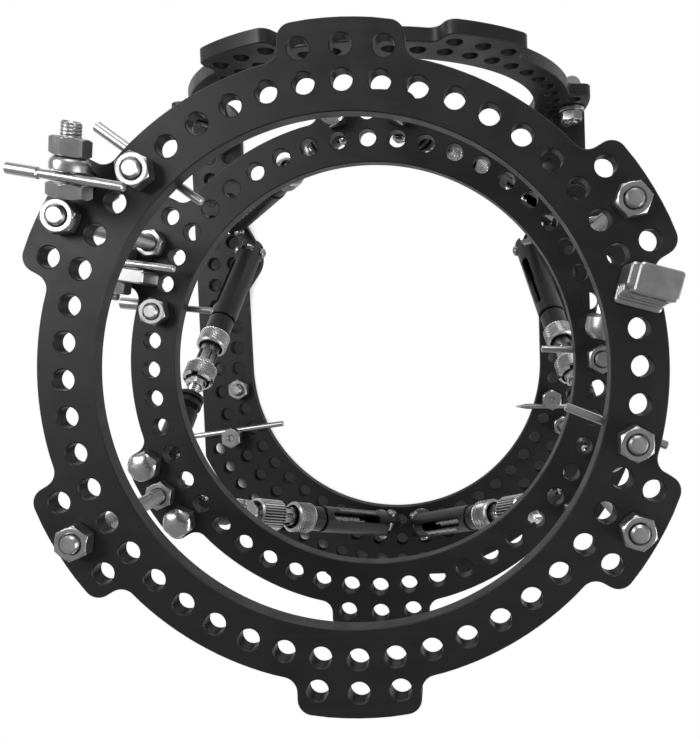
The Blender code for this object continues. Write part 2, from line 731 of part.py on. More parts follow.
def threaded_rod(name, k, parent):
    """Rod that holds rings A and B apart, with a nut on each side of both."""
    shank = SCREW_D / 2
    sections = bolt_sections(RING_B_BOTTOM_Z, RING_B_TOP_Z, NUT_T, NUT_T, 0)
    sections.append((RING_B_TOP_Z + CLEAR + NUT_T, shank, "round"))
    upper = bolt_sections(RING_A_BOTTOM_Z, RING_A_TOP_Z, NUT_T, NUT_T, SCREW_END)
    sections.append((upper[0][0], shank, "round"))
    spot = hole_point(k, TAB_ROW_R, 0)
    return stack_object(name, sections + upper, HOLE_SIDES, "steel", parent, spot)


def pin_shape(bm, start, end, shape):
    """Round pin between two points, with its thicker part at the start and its point at the end, if any."""
    length = (end - start).length
    thin = shape["d"] / 2
    thick = shape.get("thick", shape["d"]) / 2
    thick_length = shape.get("thick_length", 0)
    tip = shape.get("tip", 0)
    sections = [(0, thick, "round")]
    if thick_length:
        sections += [(thick_length, thick, "round"), (thick_length, thin, "round")]
    sections.append((length - tip, thin, "round"))
    if tip:
        sections.append((length, thin * PIN_TIP_SHARE, "round"))
    add_stack(bm, sections, HOLE_SIDES, along(end - start, start))


# Each pin under its bolt: its turn in degrees from the way to the ring axis, how far it reaches back and
# forth from the bolt, and how far to its right the bolt stands
RING_A_PINS = {
    "ring_a_left_pin": {
        "hole": -42, "turn": 7.7, "back": 23.3 * MM, "forth": 18.1 * MM, "aside": 3.5 * MM,
        "d": PIN_D, "thick": 3.6 * MM, "thick_length": 10.0 * MM,
    },
    "ring_a_right_pin": {
        "hole": -14, "turn": 172.5, "back": 22.1 * MM, "forth": 12.4 * MM, "aside": 2.4 * MM, "d": PIN_D,
    },
}
RING_B_PINS = {
    "ring_b_left_pin": {
        "hole": -38, "turn": 8.6, "back": 18.6 * MM, "forth": 20.0 * MM, "aside": 2.3 * MM,
        "d": 2.7 * MM, "thick": 4.8 * MM, "thick_length": 15.0 * MM, "tip": 1.0 * MM,
    },
    "ring_b_right_pin": {
        "hole": -12, "turn": -3.0, "back": 4.2 * MM, "forth": 22.2 * MM, "aside": -3.2 * MM,
        "d": PIN_D, "tip": 5.0 * MM,
    },
}
FOOT_PINS = {
    "foot_left_pin": {
        "spot": heel_spot(-9, FOOT_MIDDLE_ROW_R), "turn": -16.2, "back": 23.0 * MM, "forth": 28.7 * MM,
        "aside": 3.4 * MM, "d": WIRE_D,
    },
    "foot_right_pin": {
        "spot": heel_spot(10, HOLE_ROW_R), "turn": 13.2, "back": 9.6 * MM, "forth": 19.4 * MM,
        "aside": 4.1 * MM, "d": WIRE_D, "tip": 6.0 * MM,
    },
}


def pin_bolt(name, spot, faces, pin, z, parent):
    """Fixation bolt through a plate with the pin that it holds against the plate."""
    bottom_face, top_face, under, over, end = faces
    sections = bolt_sections(bottom_face, top_face, under, over, end)
    made = stack_object(name, sections, HOLE_SIDES, "steel", parent, (spot.x, spot.y, 0))
    way = Matrix.Rotation(math.radians(pin["turn"]), 2) @ -spot.xy.normalized()
    middle = Vector((-way.y, way.x)) * pin["aside"]
    start = middle - way * pin["back"]
    end_at = middle + way * pin["forth"]
    bm = bmesh.new()
    pin_shape(bm, Vector((start.x, start.y, z)), Vector((end_at.x, end_at.y, z)), pin)
    return boolean(made, helper(name + "_pin", bm, made), "UNION")


def ring_pins(pins, bottom_face, parent):
    faces = (bottom_face, bottom_face + PLATE_T, PIN_BOLT_UNDER, NUT_T, SCREW_END)
    for name, pin in pins.items():
        z = bottom_face - CLEAR - pin.get("thick", pin["d"]) / 2
        pin_bolt(name, hole_point(pin["hole"], HOLE_ROW_R, 0), faces, pin, z, parent)


def foot_pins(parent):
    """The two wires over the foot plate's legs, each under its hexagon bolt, and the two single bolts."""
    z = FOOT_TOP_Z + CLEAR + WIRE_D / 2
    faces = (FOOT_BOTTOM_Z, FOOT_TOP_Z + WIRE_D + 2 * CLEAR, HEAD_H - CLEAR, NUT_T, 0)
    for name, pin in FOOT_PINS.items():
        pin_bolt(name, pin["spot"], faces, pin, z, parent)
    bolt = bolt_sections(FOOT_BOTTOM_Z, FOOT_TOP_Z, HEAD_H - CLEAR, NUT_T, FOOT_SCREW_END)
    stack_object("foot_left_nut", bolt, HOLE_SIDES, "steel", parent, (*heel_spot(-11, HOLE_ROW_R), 0))
    stack_object("foot_right_nut", bolt, HOLE_SIDES, "steel", parent, (*heel_spot(9, FOOT_MIDDLE_ROW_R), 0))


def stacked(start, parts):
    """Sections of parts in a row, each with its length, width and kind."""
    sections = []
    for length, width, kind in parts:
        sections += [(start, width / 2, kind), (start + length, width / 2, kind)]
        start += length
    return sections


def clamp(name, spot, ring_top, axis_h, way, sections, parent, shift=Vector((0, 0, 0))):
    """Clamp on a ring: a screw through the ring, and the parts that lie along a direction over it."""
    low = ring_top - PLATE_T - CLEAR
    shank = SCREW_D / 2
    nut = NUT_AF / 2
    screw = [(low - NUT_T, nut, "hex"), (low, nut, "hex")]
    screw += [(low, shank, "round"), (ring_top + axis_h, shank, "round")]
    made = stack_object(name, screw, HOLE_SIDES, "steel", parent, (spot.x, spot.y, 0))
    bm = bmesh.new()
    add_stack(bm, sections, HOLE_SIDES, along(way, Vector((0, 0, ring_top + axis_h)) + shift))
    return boolean(made, helper(name + "_cross", bm, made), "UNION")


# Pins that the clamps hold: how far each reaches back and forth from its clamp
RING_A_CLAMPED_PIN = {
    "back": 19.1 * MM, "forth": 17.8 * MM, "d": PIN_D, "thick": 3.6 * MM, "thick_length": 10.0 * MM,
}
RING_B_CLAMPED_PIN = {"back": 7.0 * MM, "forth": 24.5 * MM, "d": PIN_D}


def clamped_pin(name, seat, way, pin, parent):
    bm = bmesh.new()
    pin_shape(bm, seat - way * pin["back"], seat + way * pin["forth"], pin)
    mesh_object(name, bm, "bright_steel", parent)


def pin_seat(spot, z, shift, way, start):
    """Where a pin crosses a clamp's stack: in the gap that begins there, just over the neck."""
    over = (Vector((0, 0, 1)) - way * way.z).normalized() * (CLAMP_NECK_D / 2 + CLEAR + PIN_D / 2)
    return spot + shift + way * (start + CLAMP_GAP / 2) + over + Vector((0, 0, z))


def ring_a_clamps(parent):
    way = Vector((0.186, 0.96, 0.2)).normalized()
    stack = stacked(CLAMP_START, [
        (CLAMP_BLOCK_T, CLAMP_BLOCK_AF, "hex"), (CLAMP_GAP, CLAMP_NECK_D, "round"),
        (CLAMP_WASHER_T, CLAMP_WASHER_D, "round"), (CLAMP_NUT_T, CLAMP_NUT_AF, "hex"),
        (CLAMP_SCREW_END, SCREW_D, "round"),
    ])
    axis_h = CLAMP_BLOCK_AF / 2 + CLAMP_TILT_RISE + CLEAR
    spot = hole_point(-41, TAB_ROW_R, 0)
    clamp("ring_a_left_clamp", spot, RING_A_TOP_Z, axis_h, way, stack, parent)
    seat = pin_seat(spot, RING_A_TOP_Z + axis_h, Vector((0, 0, 0)), way, CLAMP_START + CLAMP_BLOCK_T)
    pin_way = Vector((way.y, -way.x, 0)).normalized()
    clamped_pin("ring_a_clamped_pin", seat, pin_way, RING_A_CLAMPED_PIN, parent)

    way = Vector((0.263, 0.965, 0)).normalized()
    stack = stacked(HEAD_CLAMP_START, [
        (HEAD_CLAMP_NUT_T, NUT_AF, "hex"), (HEAD_CLAMP_WASHER_T, CLAMP_WASHER_D, "round"),
        (HEAD_CLAMP_T, HEAD_CLAMP_AF, "hex"),
    ])
    aside = Vector((way.y, -way.x, 0)) * HEAD_CLAMP_ASIDE
    spot = hole_point(-10, HOLE_ROW_R, 0)
    clamp("ring_a_right_clamp", spot, RING_A_TOP_Z, HEAD_CLAMP_AF / 2 + CLEAR, way, stack, parent, aside)


def ring_b_clamps(parent):
    way = Vector((-0.17, -0.985, 0)).normalized()
    across = Vector((-way.y, way.x, 0))
    gap_start = BAR_START - CLAMP_GAP
    stack = stacked(gap_start - BAR_BLOCK_T, [
        (BAR_BLOCK_T, BAR_BLOCK_AF, "hex"), (CLAMP_GAP + BAR_W, CLAMP_NECK_D, "round"),
        (NUT_T, CLAMP_NUT_AF, "hex"), (BAR_SCREW_END, SCREW_D, "round"),
    ])
    shift = -across * BAR_SHIFT
    spot = hole_point(-39, TAB_ROW_R, 0)
    made = clamp("ring_b_left_clamp", spot, RING_B_TOP_Z, BAR_AXIS_H, way, stack, parent, shift)
    bar = bmesh.new()
    middle = way * (gap_start + CLAMP_GAP + BAR_W / 2) + across * (BAR_REACH - BAR_LENGTH / 2)
    middle += Vector((0, 0, RING_B_TOP_Z + BAR_AXIS_H))
    turned = Matrix.Translation(middle) @ Matrix.Rotation(math.atan2(across.y, across.x), 4, "Z")
    add_box(bar, (BAR_LENGTH, BAR_W, 2 * (BAR_AXIS_H - CLEAR)), (0, 0, 0), turned)
    boolean(made, helper("ring_b_left_clamp_bar", bar, made), "UNION")
    seat = pin_seat(spot, RING_B_TOP_Z + BAR_AXIS_H, shift, way, gap_start)
    pin_way = Vector((0.989, -0.145, 0)).normalized()
    clamped_pin("ring_b_clamped_pin", seat, pin_way, RING_B_CLAMPED_PIN, parent)

    way = Vector((-0.2, -1, 0)).normalized()
    cone = stacked(CONE_START, [(CONE_STRAIGHT, CONE_AF, "hex")]) + [(CONE_END, CONE_TIP_D / 2, "hex")]
    spot = hole_point(-11, HOLE_ROW_R, 0)
    clamp("ring_b_right_clamp", spot, RING_B_TOP_Z, CONE_AF / 2 + CLEAR, way, cone, parent)


def arch_fixing(name, side, parent):
    """Post on the end of a leg with the bolt that holds the arch's end tab to it."""
    shank = SCREW_D / 2
    post = ARCH_POST_D / 2
    nut = NUT_AF / 2
    low = FOOT_BOTTOM_Z - CLEAR
    base = FOOT_TOP_Z + CLEAR
    axis_z = FOOT_TOP_Z + ARCH_CENTRE_Z
    sections = [
        (0, nut, "hex"), (low, nut, "hex"), (low, shank, "round"), (base, shank, "round"), (base, post, "round"),
        (axis_z + post, post, "round"),
    ]
    made = stack_object(name, sections, HOLE_SIDES, "steel", parent, (side * TAB_ROW_R, ARCH_POST_Y, 0))
    front = post + ARCH_GAP + PLATE_T + ARCH_GAP
    cross = stacked(0, [
        (front, SCREW_D, "round"), (ARCH_WASHER_T, ARCH_WASHER_D, "round"), (NUT_T, NUT_AF, "hex"),
        (SCREW_END, SCREW_D, "round"),
    ])
    bm = bmesh.new()
    add_stack(bm, cross, HOLE_SIDES, along((0, -1, 0), (0, 0, axis_z)))
    return boolean(made, helper(name + "_cross", bm, made), "UNION")


def main():
    clear_scene()
    axis = empty("ring_axis", (AXIS_X, AXIS_Y, 0))
    foot = empty("foot_frame", (FOOT_X, FOOT_Y, 0), axis)
    foot.rotation_euler = (0, 0, FOOT_TURN)
    ring("ring_a", RING_A_TOP_Z, axis)
    ring("ring_b", RING_B_TOP_Z, axis)
    foot_plate(foot)
    arch(foot)
    for key in STRUTS:
        build_strut(key, axis)
    for number, k in enumerate((-8, -16, -32, -40), 1):
        threaded_rod(f"threaded_rod_{number}", k, axis)
    ring_pins(RING_A_PINS, RING_A_BOTTOM_Z, axis)
    ring_pins(RING_B_PINS, RING_B_BOTTOM_Z, axis)
    ring_a_clamps(axis)
    ring_b_clamps(axis)
    foot_pins(foot)
    arch_fixing("arch_fixing_left", -1, foot)
    arch_fixing("arch_fixing_right", 1, foot)


main()
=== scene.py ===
"""Circular external fixator for the lower leg and foot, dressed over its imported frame.

Everything is in metres in the frame's own axes: +Z along the ring axis towards the camera, +Y to the toes.
"""

import math

import bmesh
import bpy
from mathutils import Matrix, Vector


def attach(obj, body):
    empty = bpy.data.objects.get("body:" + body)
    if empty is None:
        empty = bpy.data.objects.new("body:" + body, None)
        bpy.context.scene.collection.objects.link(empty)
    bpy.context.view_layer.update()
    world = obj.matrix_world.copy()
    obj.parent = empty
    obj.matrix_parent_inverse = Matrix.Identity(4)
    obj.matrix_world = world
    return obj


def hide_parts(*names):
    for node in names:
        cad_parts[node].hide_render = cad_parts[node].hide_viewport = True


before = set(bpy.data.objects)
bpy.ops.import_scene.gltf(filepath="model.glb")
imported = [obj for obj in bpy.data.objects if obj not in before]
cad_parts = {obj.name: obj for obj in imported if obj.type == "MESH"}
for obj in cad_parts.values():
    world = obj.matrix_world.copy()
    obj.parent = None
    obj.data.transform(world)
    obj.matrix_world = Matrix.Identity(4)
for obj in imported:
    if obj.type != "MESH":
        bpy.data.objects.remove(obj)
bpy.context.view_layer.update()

MM = 0.001

# The ring axis and the foot plate's own axes in the frame
AXIS = Matrix.Translation((3.98 * MM, -10.04 * MM, 0))
FOOT_TURN = math.radians(0.63)
FOOT = AXIS @ Matrix.Translation((-1.56 * MM, -4.3 * MM, 0)) @ Matrix.Rotation(FOOT_TURN, 4, "Z")

# Plates
INNER_R = 80.0 * MM
OUTER_R = 98.0 * MM
HOLE_ROW_R = 89.6 * MM
PLATE_T = 6.0 * MM
HOLE_D = 6.8 * MM
HOLE_STEPS = 48
HOLE_TURN = 2 * math.pi / HOLE_STEPS
RIM = 0.35 * MM
TAB_TIP_R = 108.5 * MM
TAB_ROW_R = 100.2 * MM
TAB_WIDTH = 39.2 * MM
TAB_CORNER_R = 5.0 * MM
TAB_EVERY = 8
CLEAR = 0.3 * MM

# Heights
HEAD_H = 5.0 * MM
FOOT_TOP_Z = HEAD_H + PLATE_T
RING_B_BOTTOM_Z = FOOT_TOP_Z + 113.8 * MM
RING_B_TOP_Z = RING_B_BOTTOM_Z + PLATE_T
RING_A_BOTTOM_Z = RING_B_TOP_Z + 59.1 * MM
RING_A_TOP_Z = RING_A_BOTTOM_Z + PLATE_T

# Foot plate, in its own axes
FOOT_LEG_OUT_X = 110.4 * MM
FOOT_LEG_IN_X = 82.4 * MM
FOOT_INNER_R = 82.0 * MM
FOOT_TOE_Y = 149.0 * MM
FOOT_TOE_R = 9.0 * MM
FOOT_HEEL_Y = -121.0 * MM
FOOT_HEEL_FLAT_X = 45.0 * MM
FOOT_HEEL_CORNER_R = 5.0 * MM
FOOT_ROOT_R = 2.0 * MM
FOOT_OUTER_R = 121.0 * MM
FOOT_MIDDLE_ROW_R = 100.4 * MM
FOOT_OUTER_ROW_R = 112.2 * MM
FOOT_OUTER_ROW_STEP = math.radians(6.0)
FOOT_OUTER_ROW_COUNT = 11
FOOT_LEG_PITCH = 11.9 * MM
FOOT_INNER_LEG_HOLES = (10, 12)
FOOT_MIDDLE_LEG_HOLES = (10, 11)
EAR_NOSE_X = 71.0 * MM
EAR_NOSE_Y = 60.6 * MM
EAR_TOP_Y = 82.26 * MM
EAR_LOW_Y = 44.96 * MM
EAR_NOSE_R = 14.0 * MM
EAR_SEAT_X = 81.5 * MM
EAR_SEAT_Y = 64.26 * MM

# Arch
ARCH_Y = 135.7 * MM
ARCH_CENTRE_Z = 18.4 * MM
ARCH_GAP = 0.4 * MM
ARCH_POST_D = 9.0 * MM
ARCH_WASHER_D = 13.0 * MM
ARCH_WASHER_T = 2.0 * MM

# Struts
FOOT_HINGE_H = 10.9 * MM
RING_HINGE_H = 11.9 * MM
TUBE_D = 13.0 * MM
TUBE_BORE_D = 8.2 * MM
SLEEVE_D = 12.0 * MM
FORK_LENGTH = 5.6 * MM
FORK_SLOT_W = 6.6 * MM
FORK_SLOT_DEPTH = 10.2 * MM
PIVOT_D = 4.0 * MM
PIVOT_PROUD = 1.8 * MM
PIVOT_HEAD_R = 2.75 * MM
PIVOT_SUNK = 0.75 * MM
PIVOT_FLAT_R = 3.1 * MM
PIVOT_FLAT_DEPTH = 0.95 * MM
CUT_OVER = 2.0 * MM
POST_W = 5.4 * MM
SEAT_D = 12.0 * MM
SEAT_T = 1.6 * MM
RING_HEAD_AF = 11.0 * MM
RING_HEAD_H = 7.0 * MM
RING_HEAD_STRAIGHT = 0.5
RING_HEAD_TIP = 0.6 * MM
WINDOW_W = 4.6 * MM
WINDOW_START = 12.0 * MM
WINDOW_END = 46.0 * MM
SCALE_TICKS = 26
SCALE_TURN = 32
SCALE_START = 3.0 * MM
SET_SCREW_Z = 14.5 * MM
SET_SCREW_R = 1.5 * MM
ROD_D = 6.0 * MM
ROD_START = 24.0 * MM
COLLAR_D = 14.4 * MM
KNOB_D = 14.2 * MM
COLLAR_NECK_D = 9.0 * MM
FLATS_D = 10.0 * MM
KNURL_COUNT = 38
KNURL_DEPTH = 0.5 * MM
KNURL_PITCH = math.pi * COLLAR_D / KNURL_COUNT
SLOT_W = 1.9 * MM
KNOB_HOLLOW = 2.6 * MM
KNOB_SLEEVE_R = 4.4 * MM
KNOB_SLEEVE_REACH = 3.4 * MM
KNOB_FLATS_R = 3.8 * MM
KNOB_NOTCHES = 4
KNOB_NOTCH_TURN = 0.42
KNOB_NOTCH_DEPTH = 1.5 * MM
HEEL_FLUTES = 32
HEEL_FLUTE_DEPTH = 0.75 * MM
HEEL_RIM_R = 6.0 * MM
HEEL_HOLLOW = 4.6 * MM
HEEL_NUT_TURN = 20
HEEL_NECK_START = 90.2 * MM
HEEL_NUT_START = 94.4 * MM
HEEL_NUT_END = 99.6 * MM
HEEL_NUT_AF = 12.0 * MM
DISC_D = 12.6 * MM
DISC_LENGTH = 6.0 * MM
END_TAPER = 3.0 * MM
ROD_END_D = 12.0 * MM
# Rounded noses of tubes and end pieces, in millimetres: from the end, and in from the full radius
TUBE_NOSE = ((0, 2.2), (0.5, 1.2), (1.4, 0.4), (2.6, 0))
END_NOSE = ((2.4, 0), (1.2, 0.4), (0.4, 1.2), (0, 2.2))

HEEL_SEAT = (11.695 * MM, 88.833 * MM)
EAR_SEAT = (EAR_SEAT_X, EAR_SEAT_Y)
LEG_SEAT = (HOLE_ROW_R, 7 * FOOT_LEG_PITCH)
# Each strut: its side and seat on the foot plate, its hinge from the seat, its hole on ring B, and the turn
# of its scale window about the strut in degrees
STRUTS = {
    "l1": {
        "style": "side", "side": (-1, 1), "seat": EAR_SEAT, "hinge": (5.1 * MM, 0), "hole": -33, "window": 50,
    },
    "l2": {
        "style": "side", "side": (-1, 1), "seat": LEG_SEAT, "hinge": (5.7 * MM, -2.0 * MM), "hole": 1,
        "window": 0,
    },
    "r1": {
        "style": "side", "side": (1, 1), "seat": EAR_SEAT, "hinge": (-5.9 * MM, -4.0 * MM), "hole": -15,
        "window": 50,
    },
    "r2": {
        "style": "side", "side": (1, 1), "seat": LEG_SEAT, "hinge": (-5.4 * MM, -3.8 * MM), "hole": -1,
        "window": 0,
    },
    "h1": {
        "style": "heel", "side": (-1, -1), "seat": HEEL_SEAT, "hinge": (4.8 * MM, 0.1 * MM), "hole": -31,
        "window": 45,
    },
    "h2": {
        "style": "heel", "side": (1, -1), "seat": HEEL_SEAT, "hinge": (-0.9 * MM, -1.4 * MM), "hole": -17,
        "window": -12,
    },
}

# Where each piece begins or ends along a strut, from its foot hinge
STYLES = {
    "side": {
        "sleeve": 52.0 * MM, "collar": 62.8 * MM, "collar_end": 71.0 * MM,
        "knob": 83.5 * MM, "knob_end": 92.0 * MM, "rod_end": 101.0 * MM,
    },
    "heel": {
        "sleeve": 50.0 * MM, "collar": 57.7 * MM, "collar_end": 68.5 * MM,
        "knob": 76.7 * MM, "knob_end": 90.4 * MM, "rod_end": 103.0 * MM,
    },
}

# Screws, nuts and pins
SCREW_D = 6.0 * MM
NUT_AF = 10.0 * MM
NUT_T = 5.0 * MM
SCREW_END = 1.2 * MM
FOOT_SCREW_END = 3.0 * MM
PITCH = 1.0 * MM
THREAD_DEPTH = 0.32 * MM
THREAD_TAPER = 0.7 * MM
THREAD_SIDES = 32
CHAMFER_SLOPE = 0.6
BORE_SINK = 0.45 * MM
BORE_PLAY = 0.15 * MM
PIN_D = 2.8 * MM
WIRE_D = 3.0 * MM
PIN_BOLT_UNDER = 6.0 * MM
CLAMP_START = -6.8 * MM
CLAMP_BLOCK_AF = 14.4 * MM
LEFT_BLOCK_AF = 11.0 * MM
LEFT_CLAMP_SHIFT = Vector((-0.5 * MM, 0.1 * MM, 0))
CLAMP_BLOCK_T = 4.5 * MM
CLAMP_NECK_D = 4.0 * MM
CLAMP_GAP = PIN_D + 2 * CLEAR
CLAMP_WASHER_D = 11.5 * MM
CLAMP_WASHER_T = 4.3 * MM
CLAMP_NUT_AF = 11.6 * MM
CLAMP_NUT_T = 5.5 * MM
CLAMP_SCREW_END = 4.6 * MM
CLAMP_TILT_RISE = 1.5 * MM
RIDGED_LENGTH = 13.0 * MM
RIDGED_WIDTH = 9.0 * MM
RIDGED_TOP = 17.0 * MM
RIDGED_X = 3.9 * MM
RIDGED_Y = 1.2 * MM
RIDGED_TURN = math.radians(-16)
# Ridges in millimetres: low and high edge, and how far each reaches out to the left and down
RIDGES = (
    (0, 2.6, 1.6, 2.6), (3.5, 5.0, 1.6, 1.2), (5.9, 7.4, 1.6, 0.6), (8.3, 9.8, 1.6, 0.2), (10.7, 17.0, 0, 0),
)
BAR_START = -1.4 * MM
BAR_W = 5.4 * MM
BAR_LENGTH = 20.6 * MM
BAR_REACH = 7.8 * MM
BAR_AXIS_H = 7.6 * MM
BAR_BLOCK_AF = 12.0 * MM
BAR_BLOCK_T = 4.6 * MM
BAR_SHIFT = 6.5 * MM
BAR_SCREW_END = 2.6 * MM
NOSE_START = -10.5 * MM
NOSE_BLOCK_T = 5.0 * MM
NOSE_BLOCK_AF = 6.0 * MM
NOSE_LENGTH = 9.6 * MM
NOSE_R = 6.2 * MM
NOSE_SUNK = 0.2 * MM
NOSE_AXIS_H = 6.6 * MM
NOSE_ROWS = ((0, 0.7), (0.06, 0.88), (0.18, 1), (0.55, 1), (0.72, 0.94), (0.86, 0.78), (0.94, 0.6), (1, 0.5))
DOME_ROWS = ((0, 0.95), (0.08, 1), (0.45, 1), (0.7, 0.95), (0.88, 0.84), (1, 0.66))

ROUND = 40
HOLE_ROUND = 36
HEX_SIDES = 48

# Camera read from the photograph's hole centres, in pixels
PHOTO_W = 700
PHOTO_H = 740
FOCAL_PX = 720.48
CENTRE_PX = (438.11, 358.43)
SENSOR = 36


# Materials

def new_material(name):
    made = bpy.data.materials.new(name)
    made.use_nodes = True
    return made, made.node_tree, made.node_tree.nodes["Principled BSDF"]


def noise(tree, scale, detail, roughness=0.55):
    coords = tree.nodes.new("ShaderNodeTexCoord")
    made = tree.nodes.new("ShaderNodeTexNoise")
    made.inputs["Scale"].default_value = scale
    made.inputs["Detail"].default_value = detail
    made.inputs["Roughness"].default_value = roughness
    tree.links.new(coords.outputs["Object"], made.inputs["Vector"])
    return made.outputs["Fac"]


def ramp(tree, source, stops):
    made = tree.nodes.new("ShaderNodeValToRGB")
    tree.links.new(source, made.inputs["Fac"])
    while len(made.color_ramp.elements) < len(stops):
        made.color_ramp.elements.new(0.5)
    for element, (place, value) in zip(made.color_ramp.elements, stops):
        element.position = place
        element.color = (value, value, value, 1.0)
    return made.outputs["Color"]


def bump(tree, shader, source, strength, distance):
    made = tree.nodes.new("ShaderNodeBump")
    made.inputs["Strength"].default_value = strength
    made.inputs["Distance"].default_value = distance
    tree.links.new(source, made.inputs["Height"])
    tree.links.new(made.outputs["Normal"], shader.inputs["Normal"])


def painted_edge_highlight(tree, base, highlight_tone, low, high):
    """Mixes a lighter tone in along convex edges: a painted highlight on the rims."""
    geometry = tree.nodes.new("ShaderNodeNewGeometry")
    mask = tree.nodes.new("ShaderNodeMapRange")
    mask.inputs["From Min"].default_value = low
    mask.inputs["From Max"].default_value = high
    tree.links.new(geometry.outputs["Pointiness"], mask.inputs["Value"])
    mix = tree.nodes.new("ShaderNodeMix")
    mix.data_type = "RGBA"
    tree.links.new(mask.outputs["Result"], mix.inputs["Factor"])
    tree.links.new(base, mix.inputs["A"])
    mix.inputs["B"].default_value = (highlight_tone, highlight_tone, highlight_tone, 1.0)
    return mix.outputs["Result"]


def finish(tree, shader, metallic, smudges, stops):
    """Sets how metallic a look is, and a roughness that varies in smudges of the given scale."""
    shader.inputs["Metallic"].default_value = metallic
    tree.links.new(ramp(tree, noise(tree, smudges, 6.0), stops), shader.inputs["Roughness"])


def anodised(name, dark, light, rough_low, rough_high):
    """Satin black anodised aluminium: a fine bead-blasted grain, faint clouding and painted highlights along its
    edges.
    """
    made, tree, shader = new_material(name)
    colour = ramp(tree, noise(tree, 35.0, 5.0), ((0.3, dark), (0.7, light)))
    # Convex edges get a lighter tone, a painted highlight.
    tree.links.new(painted_edge_highlight(tree, colour, light * 2.2, 0.52, 0.62), shader.inputs["Base Color"])
    finish(tree, shader, 0.15, 90.0, ((0.35, rough_low), (0.65, rough_high)))
    shader.inputs["Specular IOR Level"].default_value = 0.34
    bump(tree, shader, noise(tree, 2600.0, 2.0), 0.12, 0.00004)
    return made


def turned_steel(name, dark, light, rough_low, rough_high):
    """Machined stainless steel: fine tool marks, tone that varies from patch to patch and smudges."""
    made, tree, shader = new_material(name)
    colour = ramp(tree, noise(tree, 160.0, 5.0, 0.6), ((0.25, dark), (0.75, light)))
    # Convex edges get a lighter tone, a painted highlight.
    highlight_tone = min(0.95, light * 1.3)
    tree.links.new(painted_edge_highlight(tree, colour, highlight_tone, 0.53, 0.65), shader.inputs["Base Color"])
    finish(tree, shader, 0.96, 220.0, ((0.3, rough_low), (0.7, rough_high)))
    bump(tree, shader, noise(tree, 900.0, 3.0, 0.5), 0.18, 0.00006)
    return made


def knurled_steel(name, groove, crest_highlight, rough_low, rough_high):
    """Machined steel with painted shade in its knurled grooves and painted highlights on its crests."""
    made, tree, shader = new_material(name)
    geometry = tree.nodes.new("ShaderNodeNewGeometry")
    # Pointiness paints shade into the knurl grooves and concave corners, and a highlight onto the crests and
    # convex edges.
    stops = ((0.46, groove), (0.5, 0.6 * crest_highlight), (0.53, crest_highlight))
    tree.links.new(ramp(tree, geometry.outputs["Pointiness"], stops), shader.inputs["Base Color"])
    finish(tree, shader, 0.95, 260.0, ((0.3, rough_low), (0.7, rough_high)))
    bump(tree, shader, noise(tree, 1100.0, 3.0), 0.15, 0.00005)
    return made


PLATE_BLACK = anodised("black_plate_look", 0.0045, 0.008, 0.4, 0.52)
STRUT_BLACK = anodised("black_strut_look", 0.006, 0.01, 0.3, 0.42)
STEEL = turned_steel("steel_look", 0.3, 0.41, 0.26, 0.4)
KNURLED_STEEL = knurled_steel("knurled_steel_look", 0.08, 0.62, 0.28, 0.4)
BRIGHT_STEEL = turned_steel("bright_steel_look", 0.42, 0.54, 0.2, 0.32)


# Flat outlines

def polar(radius, angle):
    return Vector((radius * math.cos(angle), radius * math.sin(angle)))


def step_angle(k):
    """Angle of hole k, counted anticlockwise from the top of a ring."""
    return math.pi / 2 + k * HOLE_TURN


def circle(centre, diameter, sides=HOLE_ROUND):
    return [Vector(centre) + polar(diameter / 2, (i + 0.5) * 2 * math.pi / sides) for i in range(sides)]


def rounded(corners, steps=8):
    """Outline through (point, radius) corners, each corner with a radius replaced by its tangent arc."""
    outline = []
    for i, (point, radius) in enumerate(corners):
        to_last = (corners[i - 1][0] - point).normalized()
        to_next = (corners[(i + 1) % len(corners)][0] - point).normalized()
        if not radius or to_last.dot(to_next) < -0.999:
            outline.append(point)
            continue
        half = to_last.angle(to_next) / 2
        reach = radius / math.tan(half)
        centre = point + (to_last + to_next).normalized() * radius / math.sin(half)
        start = point + to_last * reach - centre
        end = point + to_next * reach - centre
        turn = start.angle_signed(end)
        for j in range(steps + 1):
            outline.append(centre + Matrix.Rotation(-turn * j / steps, 2) @ start)
    return outline


def shrunk(outline, by):
    """The outline moved inwards, for an anticlockwise edge, so that its rounded rim reaches the real edge."""
    moved = []
    for i, point in enumerate(outline):
        before = (point - outline[i - 1]).normalized()
        after = (outline[(i + 1) % len(outline)] - point).normalized()
        way = (before + after).normalized()
        moved.append(point + Vector((-way.y, way.x)) * by)
    return moved


def tab_corners(middle):
    """Corners of one rim tab, in anticlockwise order."""
    half = TAB_WIDTH / 2
    turn = Matrix.Rotation(middle - math.pi / 2, 2)
    root = math.sqrt(OUTER_R ** 2 - half ** 2)
    tip = math.sqrt(TAB_TIP_R ** 2 - half ** 2)
    bow = [(half * x, math.sqrt(TAB_TIP_R ** 2 - (half * x) ** 2)) for x in (0.5, 0.25, 0, -0.25, -0.5)]
    corners = [(turn @ Vector((half, root)), TAB_CORNER_R), (turn @ Vector((half, tip)), TAB_CORNER_R)]
    corners += [(turn @ Vector(point), 0) for point in bow]
    corners += [(turn @ Vector((-half, tip)), TAB_CORNER_R), (turn @ Vector((-half, root)), TAB_CORNER_R)]
    return corners


def rim_arc(start, end, count=16):
    return [(polar(OUTER_R, start + (end - start) * i / (count + 1)), 0) for i in range(2, count)]


# Mesh building

def finish_mesh(name, mesh, look, matrix, sharp=30):
    mesh.shade_smooth()
    mesh.set_sharp_from_angle(angle=math.radians(sharp))
    made = bpy.data.objects.new(name, mesh)
    mesh.materials.clear()
    mesh.materials.append(look)
    made.matrix_world = matrix
    bpy.context.scene.collection.objects.link(made)
    return made


def mesh_piece(name, bm, look, matrix, sharp=30):
    bmesh.ops.recalc_face_normals(bm, faces=bm.faces)
    mesh = bpy.data.meshes.new(name)
    bm.to_mesh(mesh)
    bm.free()
    return finish_mesh(name, mesh, look, matrix, sharp)


